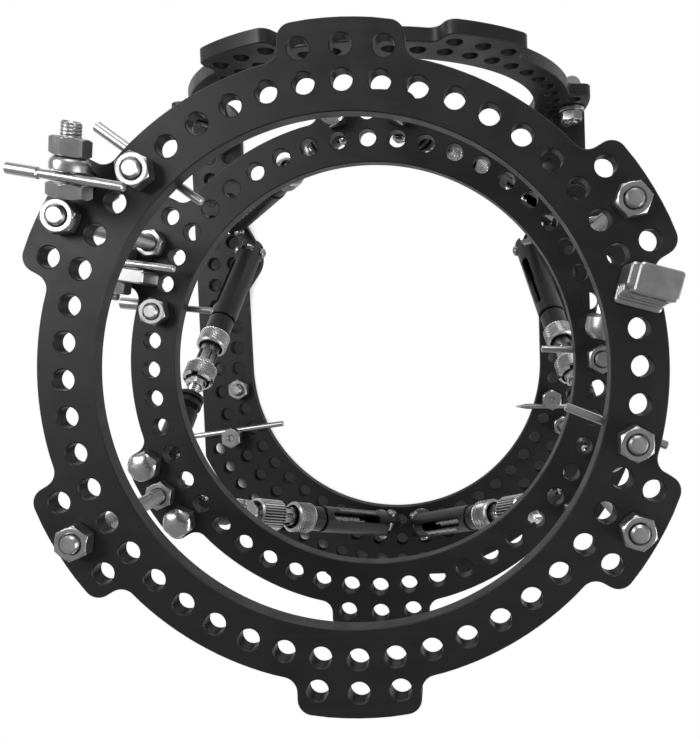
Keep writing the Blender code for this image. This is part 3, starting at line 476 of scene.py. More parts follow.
def plate_piece(name, edge, holes, look, matrix):
    """A plate with chamfered edge and hole rims, made from filled outlines."""
    data = bpy.data.curves.new(name, "CURVE")
    data.dimensions = "2D"
    data.fill_mode = "BOTH"
    data.extrude = PLATE_T / 2 - RIM
    data.bevel_depth = RIM
    data.bevel_resolution = 0
    for outline in [shrunk(edge, RIM)] + holes:
        spline = data.splines.new("POLY")
        spline.points.add(len(outline) - 1)
        for point, corner in zip(spline.points, outline):
            point.co = (corner.x, corner.y, 0, 1)
        spline.use_cyclic_u = True
    source = bpy.data.objects.new(name + "_outline", data)
    bpy.context.scene.collection.objects.link(source)
    graph = bpy.context.evaluated_depsgraph_get()
    mesh = bpy.data.meshes.new_from_object(source.evaluated_get(graph))
    bpy.data.objects.remove(source, do_unlink=True)
    bm = bmesh.new()
    bm.from_mesh(mesh)
    bmesh.ops.remove_doubles(bm, verts=bm.verts, dist=1e-6)
    bm.to_mesh(mesh)
    bm.free()
    made = finish_mesh(name, mesh, look, matrix)
    for face in mesh.polygons:
        face.use_smooth = abs(face.normal.z) < 0.999
    return made


def hexagon(radius, angle):
    """Distance to the side of a hexagon of that half width, at an angle."""
    off = (angle + math.pi / 6) % (math.pi / 3) - math.pi / 6
    return radius / math.cos(off)


def add_grid(bm, rings, matrix, closed=False):
    """Joins rings of points into one skin, capped at its two ends unless it closes on itself."""
    rows = [[bm.verts.new(matrix @ Vector(point)) for point in ring] for ring in rings]
    pairs = list(zip(rows, rows[1:]))
    if closed:
        pairs.append((rows[-1], rows[0]))
    else:
        bm.faces.new(list(reversed(rows[0])))
        bm.faces.new(rows[-1])
    count = len(rows[0])
    for low, high in pairs:
        for i in range(count):
            j = (i + 1) % count
            bm.faces.new((low[i], low[j], high[j], high[i]))


def add_turned(bm, profile, matrix=None, sides=ROUND, closed=False, shape=None, drop=None):
    """Turns a (height, radius) profile; shape may change the radius by angle, and drop the height."""
    matrix = matrix or Matrix.Identity(4)
    rings = []
    for height, radius in profile:
        ring = []
        for i in range(sides):
            angle = 2 * math.pi * i / sides
            reach = shape(radius, angle, height) if shape else radius
            level = drop(angle, height) if drop else height
            ring.append((reach * math.cos(angle), reach * math.sin(angle), level))
        rings.append(ring)
    add_grid(bm, rings, matrix, closed)


def add_nut(bm, low, high, width, matrix=None, ends=(True, True), bore=0.0, turn=0.0):
    """Hexagon nut or head with its corners chamfered at the given ends, and its bore if it has one."""
    half = width / 2
    flat = 0.96 * half
    drop = (half / math.cos(math.pi / 6) - flat) * CHAMFER_SLOPE

    def chamfered(radius, angle, height):
        if radius < half:
            return radius
        reach = hexagon(half, angle)
        if ends[0]:
            reach = min(reach, flat + (height - low) / CHAMFER_SLOPE)
        if ends[1]:
            reach = min(reach, flat + (high - height) / CHAMFER_SLOPE)
        return reach

    heights = [low]
    if ends[0]:
        heights += [low + drop * t for t in (0.25, 0.5, 0.75, 1.0)]
    if ends[1]:
        heights += [high - drop * t for t in (1.0, 0.75, 0.5, 0.25)]
    heights.append(high)
    profile = [(height, half) for height in heights]
    if bore:
        wide = bore + BORE_SINK
        profile += [(high, wide), (high - BORE_SINK, bore), (low + BORE_SINK, bore), (low, wide)]
    matrix = (matrix or Matrix.Identity(4)) @ Matrix.Rotation(math.radians(turn), 4, "Z")
    add_turned(bm, profile, matrix, HEX_SIDES, closed=bool(bore), shape=chamfered)


def add_thread(bm, low, high, diameter, matrix=None):
    """A rod with a real helical thread between two heights."""
    outer = diameter / 2
    steps = max(4, int(round((high - low) / (PITCH / 5))))

    def helix(_, angle, height):
        phase = (height / PITCH - angle / (2 * math.pi)) % 1
        reach = outer - THREAD_DEPTH * abs(2 * phase - 1)
        return min(reach, outer - THREAD_TAPER + (high - height), outer - THREAD_TAPER + (height - low))

    profile = [(low + (high - low) * n / steps, outer) for n in range(steps + 1)]
    add_turned(bm, profile, matrix, THREAD_SIDES, shape=helix)


def add_box(bm, size, centre, matrix=None):
    where = (matrix or Matrix.Identity(4)) @ Matrix.Translation(centre) @ Matrix.Diagonal((*size, 1))
    bmesh.ops.create_cube(bm, size=1, matrix=where)


def turned(profile, matrix=None, sides=ROUND):
    bm = bmesh.new()
    add_turned(bm, profile, matrix, sides)
    return bm


def box(size, centre, matrix=None):
    bm = bmesh.new()
    add_box(bm, size, centre, matrix)
    return bm


def along(direction, point=(0, 0, 0)):
    """Matrix whose local z runs along a direction from a point."""
    turn = Vector(direction).to_track_quat("Z", "Y").to_matrix().to_4x4()
    return Matrix.Translation(point) @ turn


def carved(made, cutters, sharp=30):
    """Cuts shapes out of a piece and keeps the result as its mesh."""
    helpers = []
    for bm in cutters:
        bmesh.ops.recalc_face_normals(bm, faces=bm.faces)
        mesh = bpy.data.meshes.new("cutter")
        bm.to_mesh(mesh)
        bm.free()
        cutter = bpy.data.objects.new("cutter", mesh)
        cutter.matrix_world = made.matrix_world
        cutter.hide_render = True
        bpy.context.scene.collection.objects.link(cutter)
        change = made.modifiers.new("cut", "BOOLEAN")
        change.object = cutter
        change.operation = "DIFFERENCE"
        change.solver = "EXACT"
        helpers.append(cutter)
    bpy.context.view_layer.update()
    graph = bpy.context.evaluated_depsgraph_get()
    mesh = bpy.data.meshes.new_from_object(made.evaluated_get(graph))
    made.modifiers.clear()
    made.data = mesh
    mesh.shade_smooth()
    mesh.set_sharp_from_angle(angle=math.radians(sharp))
    for cutter in helpers:
        bpy.data.objects.remove(cutter, do_unlink=True)
    return made


def settle(made, body, *nodes):
    """Puts a piece on its body in place of its CAD nodes."""
    if nodes:
        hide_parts(*nodes)
    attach(made, body)
    return made


# Rings, foot plate and arch

def ring(name, node, top_z):
    half = math.asin(TAB_WIDTH / 2 / OUTER_R)
    sextant = 2 * math.pi * TAB_EVERY / HOLE_STEPS
    corners = []
    holes = [circle((0, 0), 2 * INNER_R + 2 * RIM, 240)]
    for k in range(0, HOLE_STEPS, TAB_EVERY):
        middle = step_angle(k)
        corners += tab_corners(middle)
        corners += rim_arc(middle + half, middle + sextant - half)
    for k in range(HOLE_STEPS):
        holes.append(circle(polar(HOLE_ROW_R, step_angle(k)), HOLE_D + 2 * RIM))
        if (k + 1) % TAB_EVERY < 3:
            holes.append(circle(polar(TAB_ROW_R, step_angle(k)), HOLE_D + 2 * RIM))
    where = AXIS @ Matrix.Translation((0, 0, top_z - PLATE_T / 2))
    settle(plate_piece(name, rounded(corners), holes, PLATE_BLACK, where), "ring_block", node)


def heel_spot(n, radius):
    """Hole n of a heel row, counted from the middle of the heel to the right."""
    return polar(radius, -math.pi / 2 + n * HOLE_TURN)


def foot_edge():
    """Edge of the foot plate from the right toe round the heel to the left toe and back inside."""
    outer = [
        (Vector((FOOT_LEG_OUT_X, FOOT_TOE_Y)), FOOT_TOE_R),
        (Vector((FOOT_LEG_IN_X, FOOT_TOE_Y)), FOOT_TOE_R),
        (Vector((FOOT_LEG_IN_X, EAR_TOP_Y)), FOOT_ROOT_R),
        (Vector((EAR_NOSE_X, EAR_NOSE_Y)), EAR_NOSE_R),
        (Vector((FOOT_LEG_IN_X, EAR_LOW_Y)), 0),
    ]
    root = math.sqrt(FOOT_OUTER_R ** 2 - FOOT_HEEL_FLAT_X ** 2)
    flank = math.sqrt(FOOT_OUTER_R ** 2 - FOOT_LEG_OUT_X ** 2)
    start = math.atan2(-root, FOOT_HEEL_FLAT_X)
    end = math.atan2(-flank, FOOT_LEG_OUT_X)
    heel_side = [
        (Vector((FOOT_HEEL_FLAT_X, FOOT_HEEL_Y)), FOOT_HEEL_CORNER_R),
        (Vector((FOOT_HEEL_FLAT_X, -root)), FOOT_ROOT_R),
    ]
    heel_side += [(polar(FOOT_OUTER_R, start + (end - start) * i / 24), 0) for i in range(2, 23)]
    heel_side.append((Vector((FOOT_LEG_OUT_X, -flank)), TAB_CORNER_R))
    inner_arc = [(polar(FOOT_INNER_R, -math.pi * i / 96), 0) for i in range(97)]
    mirrored = [(Vector((-p.x, p.y)), r) for p, r in outer]
    heel_left = [(Vector((-p.x, p.y)), r) for p, r in heel_side]
    return outer + inner_arc + list(reversed(mirrored)) + list(reversed(heel_left)) + heel_side


def foot_hole_centres():
    spots = []
    for n in range(-12, 13):
        spots.append(heel_spot(n, HOLE_ROW_R))
        spots.append(heel_spot(n, FOOT_MIDDLE_ROW_R))
    for n in range(-FOOT_OUTER_ROW_COUNT, FOOT_OUTER_ROW_COUNT + 1):
        spots.append(polar(FOOT_OUTER_ROW_R, -math.pi / 2 + n * FOOT_OUTER_ROW_STEP))
    for side, inner, middle in zip((-1, 1), FOOT_INNER_LEG_HOLES, FOOT_MIDDLE_LEG_HOLES):
        spots += [Vector((side * HOLE_ROW_R, i * FOOT_LEG_PITCH)) for i in range(1, inner + 1)]
        spots += [Vector((side * FOOT_MIDDLE_ROW_R, i * FOOT_LEG_PITCH)) for i in range(1, middle + 1)]
        spots.append(Vector((side * EAR_SEAT_X, EAR_SEAT_Y)))
        spots.append(Vector((side * TAB_ROW_R, arch_post_y())))
    return spots


def foot_plate():
    edge = rounded(foot_edge())
    holes = [circle(spot, HOLE_D + 2 * RIM) for spot in foot_hole_centres()]
    where = FOOT @ Matrix.Translation((0, 0, FOOT_TOP_Z - PLATE_T / 2))
    settle(plate_piece("foot_plate_dressed", edge, holes, PLATE_BLACK, where), "foot_frame", "foot_plate")


def arch_post_y():
    return ARCH_Y + PLATE_T / 2 + ARCH_GAP + ARCH_POST_D / 2


def arch():
    half = math.asin(TAB_WIDTH / 2 / OUTER_R)
    foot = ARCH_CENTRE_Z - ARCH_GAP
    corners = []
    for tab in range(4):
        middle = tab * math.pi / 3
        corners += tab_corners(middle)
        if tab < 3:
            corners += rim_arc(middle + half, middle + math.pi / 3 - half)
    corners = [(Vector((p.x, max(p.y, -foot))), r) for p, r in corners]
    inner = math.asin(foot / INNER_R)
    sweep = math.pi + 2 * inner
    corners += [(polar(INNER_R, math.pi + inner - sweep * i / 120), 0) for i in range(121)]
    holes = []
    for k in range(-1, 26):
        angle = HOLE_TURN * k
        holes.append(circle(polar(HOLE_ROW_R, angle), HOLE_D + 2 * RIM))
        if k % TAB_EVERY in (0, 1, 7):
            holes.append(circle(polar(TAB_ROW_R, angle), HOLE_D + 2 * RIM))
    where = FOOT @ Matrix.Translation((0, ARCH_Y, FOOT_TOP_Z + ARCH_CENTRE_Z))
    where = where @ Matrix.Rotation(math.pi / 2, 4, "X")
    settle(plate_piece("arch_dressed", rounded(corners), holes, PLATE_BLACK, where), "foot_frame", "arch")


# Screws that several pieces share

def add_button_head(bm, low, high, radius, matrix):
    """Domed screw head with a hexagon socket."""
    rise = high - low
    profile = [(low, radius), (low + rise * 0.3, radius)]
    for i in range(1, 7):
        angle = math.radians(13 * i)
        reach = radius * math.cos(angle) + radius * 0.18 * (i / 6)
        profile.append((low + rise * (0.3 + 0.7 * math.sin(angle)), reach))
    top = profile[-1][0]
    socket = radius * 0.42
    mouth = socket * 1.16
    profile += [(top, mouth), (top - 0.15 * MM, socket)]
    profile += [(top - rise * 0.6, socket), (top - rise * 0.68, 0.1 * MM)]

    def socketed(reach, angle, _):
        return min(hexagon(reach, angle), reach * 1.15) if reach in (mouth, socket) else reach

    add_turned(bm, profile, matrix, 24, shape=socketed)


def add_pivot_screw(bm, half_width, sunk):
    """Pivot along x with a button head at each end."""
    add_turned(bm, [(-half_width + sunk, PIVOT_D / 2), (half_width - sunk, PIVOT_D / 2)], along((1, 0, 0)), 20)
    for side in (-1, 1):
        where = along((side, 0, 0))
        add_button_head(bm, half_width - sunk - 0.1 * MM, half_width + PIVOT_PROUD, PIVOT_HEAD_R, where)


def add_washer(bm, low, high, diameter, matrix=None):
    edge = 0.25 * MM
    radius = diameter / 2
    profile = [(low, radius - edge), (low + edge, radius), (high - edge, radius), (high, radius - edge)]
    add_turned(bm, profile, matrix)


def add_domed_hex(bm, low, high, width, straight, tip):
    """Acorn head: a hexagon that ends in a rounded cone with sloping facets."""
    half = width / 2
    wide = half * 1.16
    rows = [(0.0, 0.96 * half), (0.06, wide), (straight, wide)]
    for i in range(1, 10):
        t = i / 9
        share = straight + (1 - straight) * math.sin(t * math.pi / 2) ** 0.9
        rows.append((share, wide * math.cos(t * math.pi / 2) + tip * t))
    shoulder = low + (high - low) * straight

    def facets(limit, angle, height):
        reach = min(hexagon(half, angle), limit)
        if height > shoulder:
            reach = min(reach, hexagon(0.93 * limit, angle + 0.3))
        return reach

    profile = [(low + (high - low) * share, limit) for share, limit in rows]
    add_turned(bm, profile, None, HEX_SIDES, shape=facets)


# Struts

def seat_spot(strut):
    return Vector([way * reach for way, reach in zip(strut["side"], strut["seat"])])


def strut_frame(strut):
    """Matrix of a strut, x across, y to its scale side and z along it, with its length and both hinges."""
    x, y = seat_spot(strut) + Vector(strut["hinge"])
    foot = FOOT @ Vector((x, y, FOOT_TOP_Z + FOOT_HINGE_H))
    hole = polar(TAB_ROW_R, step_angle(strut["hole"]))
    top = AXIS @ Vector((hole.x, hole.y, RING_B_BOTTOM_Z - RING_HINGE_H))
    axis = (top - foot).normalized()
    across = Vector((-axis.y, axis.x, 0)).normalized()
    turn = Matrix((across, axis.cross(across), axis)).transposed().to_4x4()
    return Matrix.Translation(foot) @ turn, (top - foot).length, foot, top, math.atan2(across.y, across.x)


def add_eye(bm, reach, width):
    """Rounded eye of a post round its pivot, with its neck down to the given height."""
    radius = 3.3 * MM
    half = width / 2
    edge = 0.4 * MM
    profile = [(-half, radius - edge), (-half + edge, radius), (half - edge, radius), (half, radius - edge)]
    add_turned(bm, profile, along((1, 0, 0)), 32)
    add_box(bm, (width, width, abs(reach)), (0, 0, reach / 2))


def foot_joint(key, strut):
    _, _, foot, _, turn = strut_frame(strut)
    sx, sy = seat_spot(strut)
    seat = FOOT @ Vector((sx, sy, foot.z))
    where = Matrix.Translation(foot) @ Matrix.Rotation(turn, 4, "Z")
    offset = Matrix.Rotation(-turn, 2) @ (seat - foot).xy
    near = -FOOT_HINGE_H + CLEAR
    bm = bmesh.new()
    at = Matrix.Translation((offset.x, offset.y, 0))
    add_washer(bm, near, near + SEAT_T, SEAT_D, at)
    add_turned(bm, [(near - PLATE_T - 2 * CLEAR, SCREW_D / 2), (near, SCREW_D / 2)], at, 24)
    low = -foot.z
    add_nut(bm, low, low + HEAD_H - CLEAR, NUT_AF, at, (True, False))
    middle = offset / 2
    wide = POST_W + 1.2 * MM
    size = (abs(offset.x) + wide, abs(offset.y) + wide, SEAT_T)
    add_box(bm, size, (middle.x, middle.y, near + SEAT_T * 0.75))
    add_eye(bm, near + SEAT_T, POST_W)
    add_pivot_screw(bm, TUBE_D / 2, PIVOT_SUNK)
    made = mesh_piece(f"strut_{key}_foot_joint_dressed", bm, STEEL, where)
    settle(made, "foot_frame", f"strut_{key}_foot_joint")


def ring_joint(key, strut):
    _, _, _, top, turn = strut_frame(strut)
    where = Matrix.Translation(top) @ Matrix.Rotation(turn, 4, "Z")
    near = RING_HINGE_H - CLEAR
    bm = bmesh.new()
    add_washer(bm, near - SEAT_T, near, SEAT_D)
    high = RING_HINGE_H + PLATE_T + CLEAR
    add_turned(bm, [(near, SCREW_D / 2), (high, SCREW_D / 2)], None, 24)
    add_domed_hex(bm, high, high + RING_HEAD_H, RING_HEAD_AF, RING_HEAD_STRAIGHT, RING_HEAD_TIP)
    add_eye(bm, near - SEAT_T, POST_W)
    add_pivot_screw(bm, ROD_END_D / 2, PIVOT_SUNK)
    made = mesh_piece(f"strut_{key}_ring_joint_dressed", bm, BRIGHT_STEEL, where)
    settle(made, "ring_block", f"strut_{key}_ring_joint")


def fork_cutters(at, outward, diameter, clearance):
    """Cutters for the slot, the pivot hole and the flats under the pivot's heads."""
    inner = at - outward * (FORK_SLOT_DEPTH - FORK_LENGTH)
    outer = at + outward * (FORK_LENGTH + CUT_OVER)
    slot = box((FORK_SLOT_W, diameter * 2, abs(outer - inner)), (0, 0, (inner + outer) / 2))
    radius = PIVOT_D / 2 + clearance
    cutters = [slot, turned([(-diameter, radius), (diameter, radius)], along((1, 0, 0), (0, 0, at)), 28)]
    face = diameter / 2 - PIVOT_FLAT_DEPTH
    reach = PIVOT_FLAT_R + clearance
    for side in (-1, 1):
        where = along((side, 0, 0), (0, 0, at))
        cutters.append(turned([(face, reach), (diameter, reach)], where, 32))
    return cutters


def tube(key, strut, style):
    """Tube with its sleeve, fork and window, and the set screw and scale marks that show at the window."""
    where = strut_frame(strut)[0]
    sleeve = style["sleeve"]
    top = style["collar"] - CLEAR
    outer = TUBE_D / 2
    ring = SLEEVE_D / 2
    edge = 0.5 * MM
    profile = [(-FORK_LENGTH + up * MM, outer - inwards * MM) for up, inwards in TUBE_NOSE]
    profile += [
        (sleeve - edge, outer), (sleeve, outer - edge), (sleeve, ring - 2 * edge),
        (sleeve + 0.9 * MM, ring - 2 * edge), (sleeve + 0.9 * MM, ring - edge / 2), (sleeve + 1.2 * MM, ring),
        (top - edge, ring), (top, ring - edge),
    ]
    made = mesh_piece(f"strut_{key}_tube_dressed", turned(profile, None, 56), STRUT_BLACK, where)
    closed_to = FORK_SLOT_DEPTH - FORK_LENGTH + 1.6 * MM
    bore = turned([(closed_to, TUBE_BORE_D / 2), (top + 1 * MM, TUBE_BORE_D / 2)], None, 32)
    half = WINDOW_W / 2
    facing = Matrix.Rotation(math.radians(strut["window"]), 4, "Z")
    size = (WINDOW_W, outer + 2 * MM, WINDOW_END - WINDOW_START - WINDOW_W)
    cutters = [bore, box(size, (0, outer / 2 + 1 * MM, (WINDOW_START + WINDOW_END) / 2), facing)]
    for z in (WINDOW_START + half, WINDOW_END - half):
        way = facing @ along((0, 1, 0), (0, 0, z))
        cutters.append(turned([(-0.5 * MM, half), (outer + 0.5 * MM, half)], way, 28))
    carved(made, cutters + fork_cutters(0, -1, TUBE_D, 0.3 * MM))
    settle(made, f"strut_{key}_tube", f"strut_{key}_tube")
    marks = bmesh.new()
    way = facing @ along((0, 1, 0), (0, 0, SET_SCREW_Z))
    add_button_head(marks, -TUBE_BORE_D / 2 - 0.2 * MM, -1.2 * MM, SET_SCREW_R, way)
    beside = facing @ Matrix.Rotation(math.radians(SCALE_TURN), 4, "Z")
    for n in range(SCALE_TICKS):
        reach = 2.2 * MM if n % 5 == 0 else 1.3 * MM
        spot = beside @ Matrix.Translation((0, outer, WINDOW_START + SCALE_START + n * MM))
        add_box(marks, (reach, 0.12 * MM, 0.28 * MM), (0, 0, 0), spot)
    settle(mesh_piece(f"strut_{key}_set_screw", marks, BRIGHT_STEEL, where), f"strut_{key}_tube")


def fluted(count, depth, low, high):
    """Shape that cuts flutes into a turned piece between two heights."""
    def shape(radius, angle, height):
        if not low <= height <= high:
            return radius
        return radius - depth * abs(math.sin(count * angle / 2)) ** 1.5
    return shape


def knurled(count, depth, low, high):
    """Shape that presses a diamond knurl into a turned piece between two heights."""
    pitch = math.pi * COLLAR_D / count
    def shape(radius, angle, height):
        if not low <= height <= high:
            return radius
        round_by = count * angle / (2 * math.pi)
        up = height / pitch
        groove = max(abs(2 * ((round_by + up) % 1) - 1), abs(2 * ((round_by - up) % 1) - 1))
        return radius - depth * max(0, groove - 0.25)
    return shape


def barrel_rows(low, high, radius, pitch):
    """Profile rows of a knurled barrel, four to each pitch."""
    count = max(1, round((high - low) / (pitch / 4)))
    return [(low + (high - low) * i / count, radius) for i in range(count + 1)]


def collar(key, strut, style):
    """Knurled lock collar with a conical mouth and its slotted neck."""
    where = strut_frame(strut)[0]
    start, end, far = style["collar"], style["collar_end"], style["knob"] - CLEAR
    outer = COLLAR_D / 2
    edge = 0.7 * MM
    neck = COLLAR_NECK_D / 2
    bore = ROD_D / 2 + CLEAR
    low = start + edge
    high = end - edge
    floor = end - 2.2 * MM
    mouth = [(end, outer - edge), (end, outer - 1.5 * MM), (floor, neck + 0.7 * MM), (floor, neck)]
    profile = [(start, bore), (start, outer - edge)] + barrel_rows(low, high, outer, KNURL_PITCH) + mouth
    profile += [(far - 0.3 * MM, neck), (far, neck - 0.3 * MM), (far, bore)]
    bm = bmesh.new()
    pattern = knurled(KNURL_COUNT, KNURL_DEPTH, low + 0.1 * MM, high - 0.1 * MM)
    add_turned(bm, profile, None, 4 * KNURL_COUNT, closed=True, shape=pattern)
    made = mesh_piece(f"strut_{key}_collar_dressed", bm, KNURLED_STEEL, where, 25)
    middle = Matrix.Translation((0, 0, (end + far) / 2 + 0.6 * MM))
    size = (SLOT_W, COLLAR_NECK_D * 2, (far - end) * 0.5)
    turns = [Matrix.Rotation(math.pi * (0.17 + i / 3), 4, "Z") for i in range(3)]
    carved(made, [box(size, (0, 0, 0), middle @ turn) for turn in turns], 25)
    settle(made, f"strut_{key}_collar", f"strut_{key}_collar")


def notched(count, width, end, depth):
    """Drop that cuts notches into the end of a turned piece."""
    def drop(angle, height):
        off = abs((angle + math.pi / count) % (2 * math.pi / count) - math.pi / count)
        return min(height, end - depth) if off < width / 2 and height > end - depth else height
    return drop


def knob(key, strut, style):
    """Knob with its hollow outer end: a fine knurl and a notched rim, or the heel's straight flutes."""
    where = strut_frame(strut)[0]
    start, end = style["knob"], style["knob_end"]
    outer = KNOB_D / 2
    edge = 0.7 * MM
    bore = ROD_D / 2 + CLEAR
    low = start + edge
    high = end - edge
    bm = bmesh.new()
    if strut["style"] == "heel":
        profile = [
            (start, bore), (start, outer - 1.6 * edge), (low, outer), (low + 0.2 * MM, outer),
            (high - 0.2 * MM, outer), (high, outer), (end, outer - edge), (end, HEEL_RIM_R),
            (end - HEEL_HOLLOW, HEEL_RIM_R), (end - HEEL_HOLLOW, bore),
        ]
        pattern = fluted(HEEL_FLUTES, HEEL_FLUTE_DEPTH, low + 0.1 * MM, high - 0.1 * MM)
        add_turned(bm, profile, None, 6 * HEEL_FLUTES, closed=True, shape=pattern)
    else:
        rim = outer - 1.5 * MM
        sleeve = KNOB_SLEEVE_R
        top = end + KNOB_SLEEVE_REACH
        profile = [(start, bore), (start, outer - 1.6 * edge)] + barrel_rows(low, high, outer, KNURL_PITCH)
        profile += [
            (end, outer - edge), (end, rim), (end - KNOB_HOLLOW, rim), (end - KNOB_HOLLOW, sleeve),
            (end + 0.3 * MM, sleeve), (end + 0.5 * MM, sleeve), (top - 0.3 * MM, sleeve),
            (top, sleeve - 0.3 * MM), (top, bore),
        ]
        knurl = knurled(KNURL_COUNT, KNURL_DEPTH, low + 0.1 * MM, high - 0.1 * MM)
        cut = notched(KNOB_NOTCHES, KNOB_NOTCH_TURN, end, KNOB_NOTCH_DEPTH)

        def pattern(radius, angle, height):
            if height > end + 0.4 * MM and radius > bore:
                return min(radius, KNOB_FLATS_R / max(0.1, abs(math.cos(angle))))
            return knurl(radius, angle, height)

        def drop(angle, height):
            return cut(angle, height) if high <= height <= end else height

        add_turned(bm, profile, None, 4 * KNURL_COUNT, closed=True, shape=pattern, drop=drop)
    made = mesh_piece(f"strut_{key}_knob_dressed", bm, KNURLED_STEEL, where, 25)
    settle(made, f"strut_{key}_knob", f"strut_{key}_knob")


def rod(key, strut, style):
    """Threaded rod with its pointer and its end piece: a double disc or a silver nose, and the fork."""
    where, length, _, _, _ = strut_frame(strut)
    start = style["rod_end"]
    body = ROD_END_D / 2
    edge = 0.4 * MM
    rod_bm = turned([(ROD_START - 3 * MM, 1.3 * MM), (ROD_START + 0.1 * MM, 1.3 * MM)], None, 20)
    pointer = [(ROD_START - 5 * MM, 1.2 * MM), (ROD_START - 4.6 * MM, 1.7 * MM), (ROD_START - 3 * MM, 1.7 * MM)]
    add_turned(rod_bm, pointer, None, 20)
    add_thread(rod_bm, ROD_START, start + 0.3 * MM, ROD_D)
    if strut["style"] == "side":
        disc = DISC_D / 2
        mid = start + DISC_LENGTH / 2
        far = start + DISC_LENGTH
        profile = [
            (start, disc - 2 * edge), (start + edge, disc), (mid - 2 * edge, disc), (mid - edge, disc - 1.4 * MM),
            (mid + edge, disc - 1.4 * MM), (mid + 2 * edge, disc), (far - edge, disc), (far, disc - edge),
            (far, disc - 1.8 * MM), (far + 1 * MM, disc - 1.8 * MM), (far + END_TAPER, body),
        ]
    else:
        add_nut(rod_bm, HEEL_NUT_START, HEEL_NUT_END, HEEL_NUT_AF, None, turn=HEEL_NUT_TURN)
        nose = FLATS_D / 2 - 0.7 * MM
        neck = [(HEEL_NECK_START, nose - edge), (HEEL_NECK_START + edge, nose)]
        neck += [(start - edge, nose), (start + 0.1 * MM, nose - edge)]
        add_turned(rod_bm, neck, None, 32)
        profile = [(start, body - 1.8 * MM), (start + 1.6 * MM, body - 0.3 * MM), (start + 2.4 * MM, body)]
    settle(mesh_piece(f"strut_{key}_rod", rod_bm, BRIGHT_STEEL, where), f"strut_{key}_rod")
    end = length + FORK_LENGTH
    profile += [(end - back * MM, body - inwards * MM) for back, inwards in END_NOSE]
    made = mesh_piece(f"strut_{key}_end_dressed", turned(profile, None, 56), STRUT_BLACK, where)
    carved(made, fork_cutters(length, 1, ROD_END_D, 0.7 * MM))
    settle(made, f"strut_{key}_rod", f"strut_{key}_rod_end")


# Threaded rods, bolts, pins and clamps

def hole_spot(k, radius, z=0.0):
    spot = polar(radius, step_angle(k))
    return Vector((spot.x, spot.y, z))


def heel_hole(n, radius):
    spot = heel_spot(n, radius)
    return Vector((spot.x, spot.y, 0))


def add_bolt(bm, bottom_face, top_face, under, over, end, turn=0.0):
    """Screw through a plate with what is under it, its nut and its end."""
    shank = SCREW_D / 2
    low = bottom_face - CLEAR
    high = top_face + CLEAR
    add_nut(bm, low - under, low, NUT_AF, None, (True, False))
    add_turned(bm, [(low, shank), (high, shank)], None, 24)
    if not end:
        socket = 1.5 * MM
        add_nut(bm, high, high + over, NUT_AF, None, (False, True), bore=socket, turn=turn)
        add_turned(bm, [(high, socket + 0.05 * MM), (high + over - 1.6 * MM, socket + 0.05 * MM)], None, 24)
        return
    add_nut(bm, high, high + over, NUT_AF, None, (False, True), bore=shank + BORE_PLAY, turn=turn)
    add_thread(bm, high, high + over + end, SCREW_D)


def threaded_rod(number, k, turn):
    bm = bmesh.new()
    shank = SCREW_D / 2
    for low, high in ((RING_B_BOTTOM_Z, RING_B_TOP_Z), (RING_A_BOTTOM_Z, RING_A_TOP_Z)):
        add_nut(bm, low - CLEAR - NUT_T, low - CLEAR, NUT_AF)
        add_nut(bm, high + CLEAR, high + CLEAR + NUT_T, NUT_AF, bore=shank + 0.2 * MM, turn=turn)
    add_thread(bm, RING_B_BOTTOM_Z - CLEAR - NUT_T, RING_A_TOP_Z + CLEAR + NUT_T + SCREW_END, SCREW_D)
    where = AXIS @ Matrix.Translation(hole_spot(k, TAB_ROW_R))
    made = mesh_piece(f"threaded_rod_{number}_dressed", bm, STEEL, where)
    settle(made, "ring_block", f"threaded_rod_{number}")


def add_pin(bm, start, end, shape):
    """Round pin between two points, with a thick part at its start and a tip at its end where it has them."""
    length = (end - start).length
    thin = shape["d"] / 2
    wide = shape.get("thick", shape["d"]) / 2
    tip = shape.get("tip", 0)
    edge = 0.3 * MM
    rows = [(0, wide - edge), (edge, wide)]
    if "thick_length" in shape:
        rows += [(shape["thick_length"], wide), (shape["thick_length"] + 0.4 * MM, thin)]
    if tip:
        rows += [(length - tip, thin), (length - edge, thin * 0.25), (length, thin * 0.1)]
    else:
        rows += [(length - edge, thin), (length, thin - edge)]
    add_turned(bm, rows, along(end - start, start), 28)


# Each pin under its bolt: its turn in degrees from the way to the ring axis, how far it reaches back and
# forth from the bolt, how far to its right the bolt stands, and the turn of the bolt's nut
RING_A_PINS = {
    "ring_a_left_pin": {
        "hole": -42, "turn": 7.7, "back": 23.3 * MM, "forth": 18.1 * MM, "aside": 3.5 * MM, "nut": 5,
        "d": PIN_D, "thick": 3.6 * MM, "thick_length": 14.0 * MM,
    },
    "ring_a_right_pin": {
        "hole": -14, "turn": 172.5, "back": 22.1 * MM, "forth": 12.4 * MM, "aside": 2.4 * MM,
        "nut": 0, "d": PIN_D,
    },
}
RING_B_PINS = {
    "ring_b_left_pin": {
        "hole": -38, "turn": 8.6, "back": 18.6 * MM, "forth": 20.0 * MM, "aside": 2.3 * MM, "nut": 8,
        "d": 2.7 * MM, "thick": 4.8 * MM, "thick_length": 15.0 * MM, "tip": 1.0 * MM,
    },
    "ring_b_right_pin": {
        "hole": -12, "turn": -3.0, "back": 4.2 * MM, "forth": 22.2 * MM, "aside": -3.2 * MM, "nut": 0,
        "d": PIN_D,
    },
}
RING_A_CLAMPED_PIN = {
    "back": 17.3 * MM, "forth": 17.8 * MM, "d": PIN_D, "thick": 3.6 * MM, "thick_length": 9.5 * MM,
}
RING_B_CLAMPED_PIN = {"back": 7.0 * MM, "forth": 24.5 * MM, "d": PIN_D}
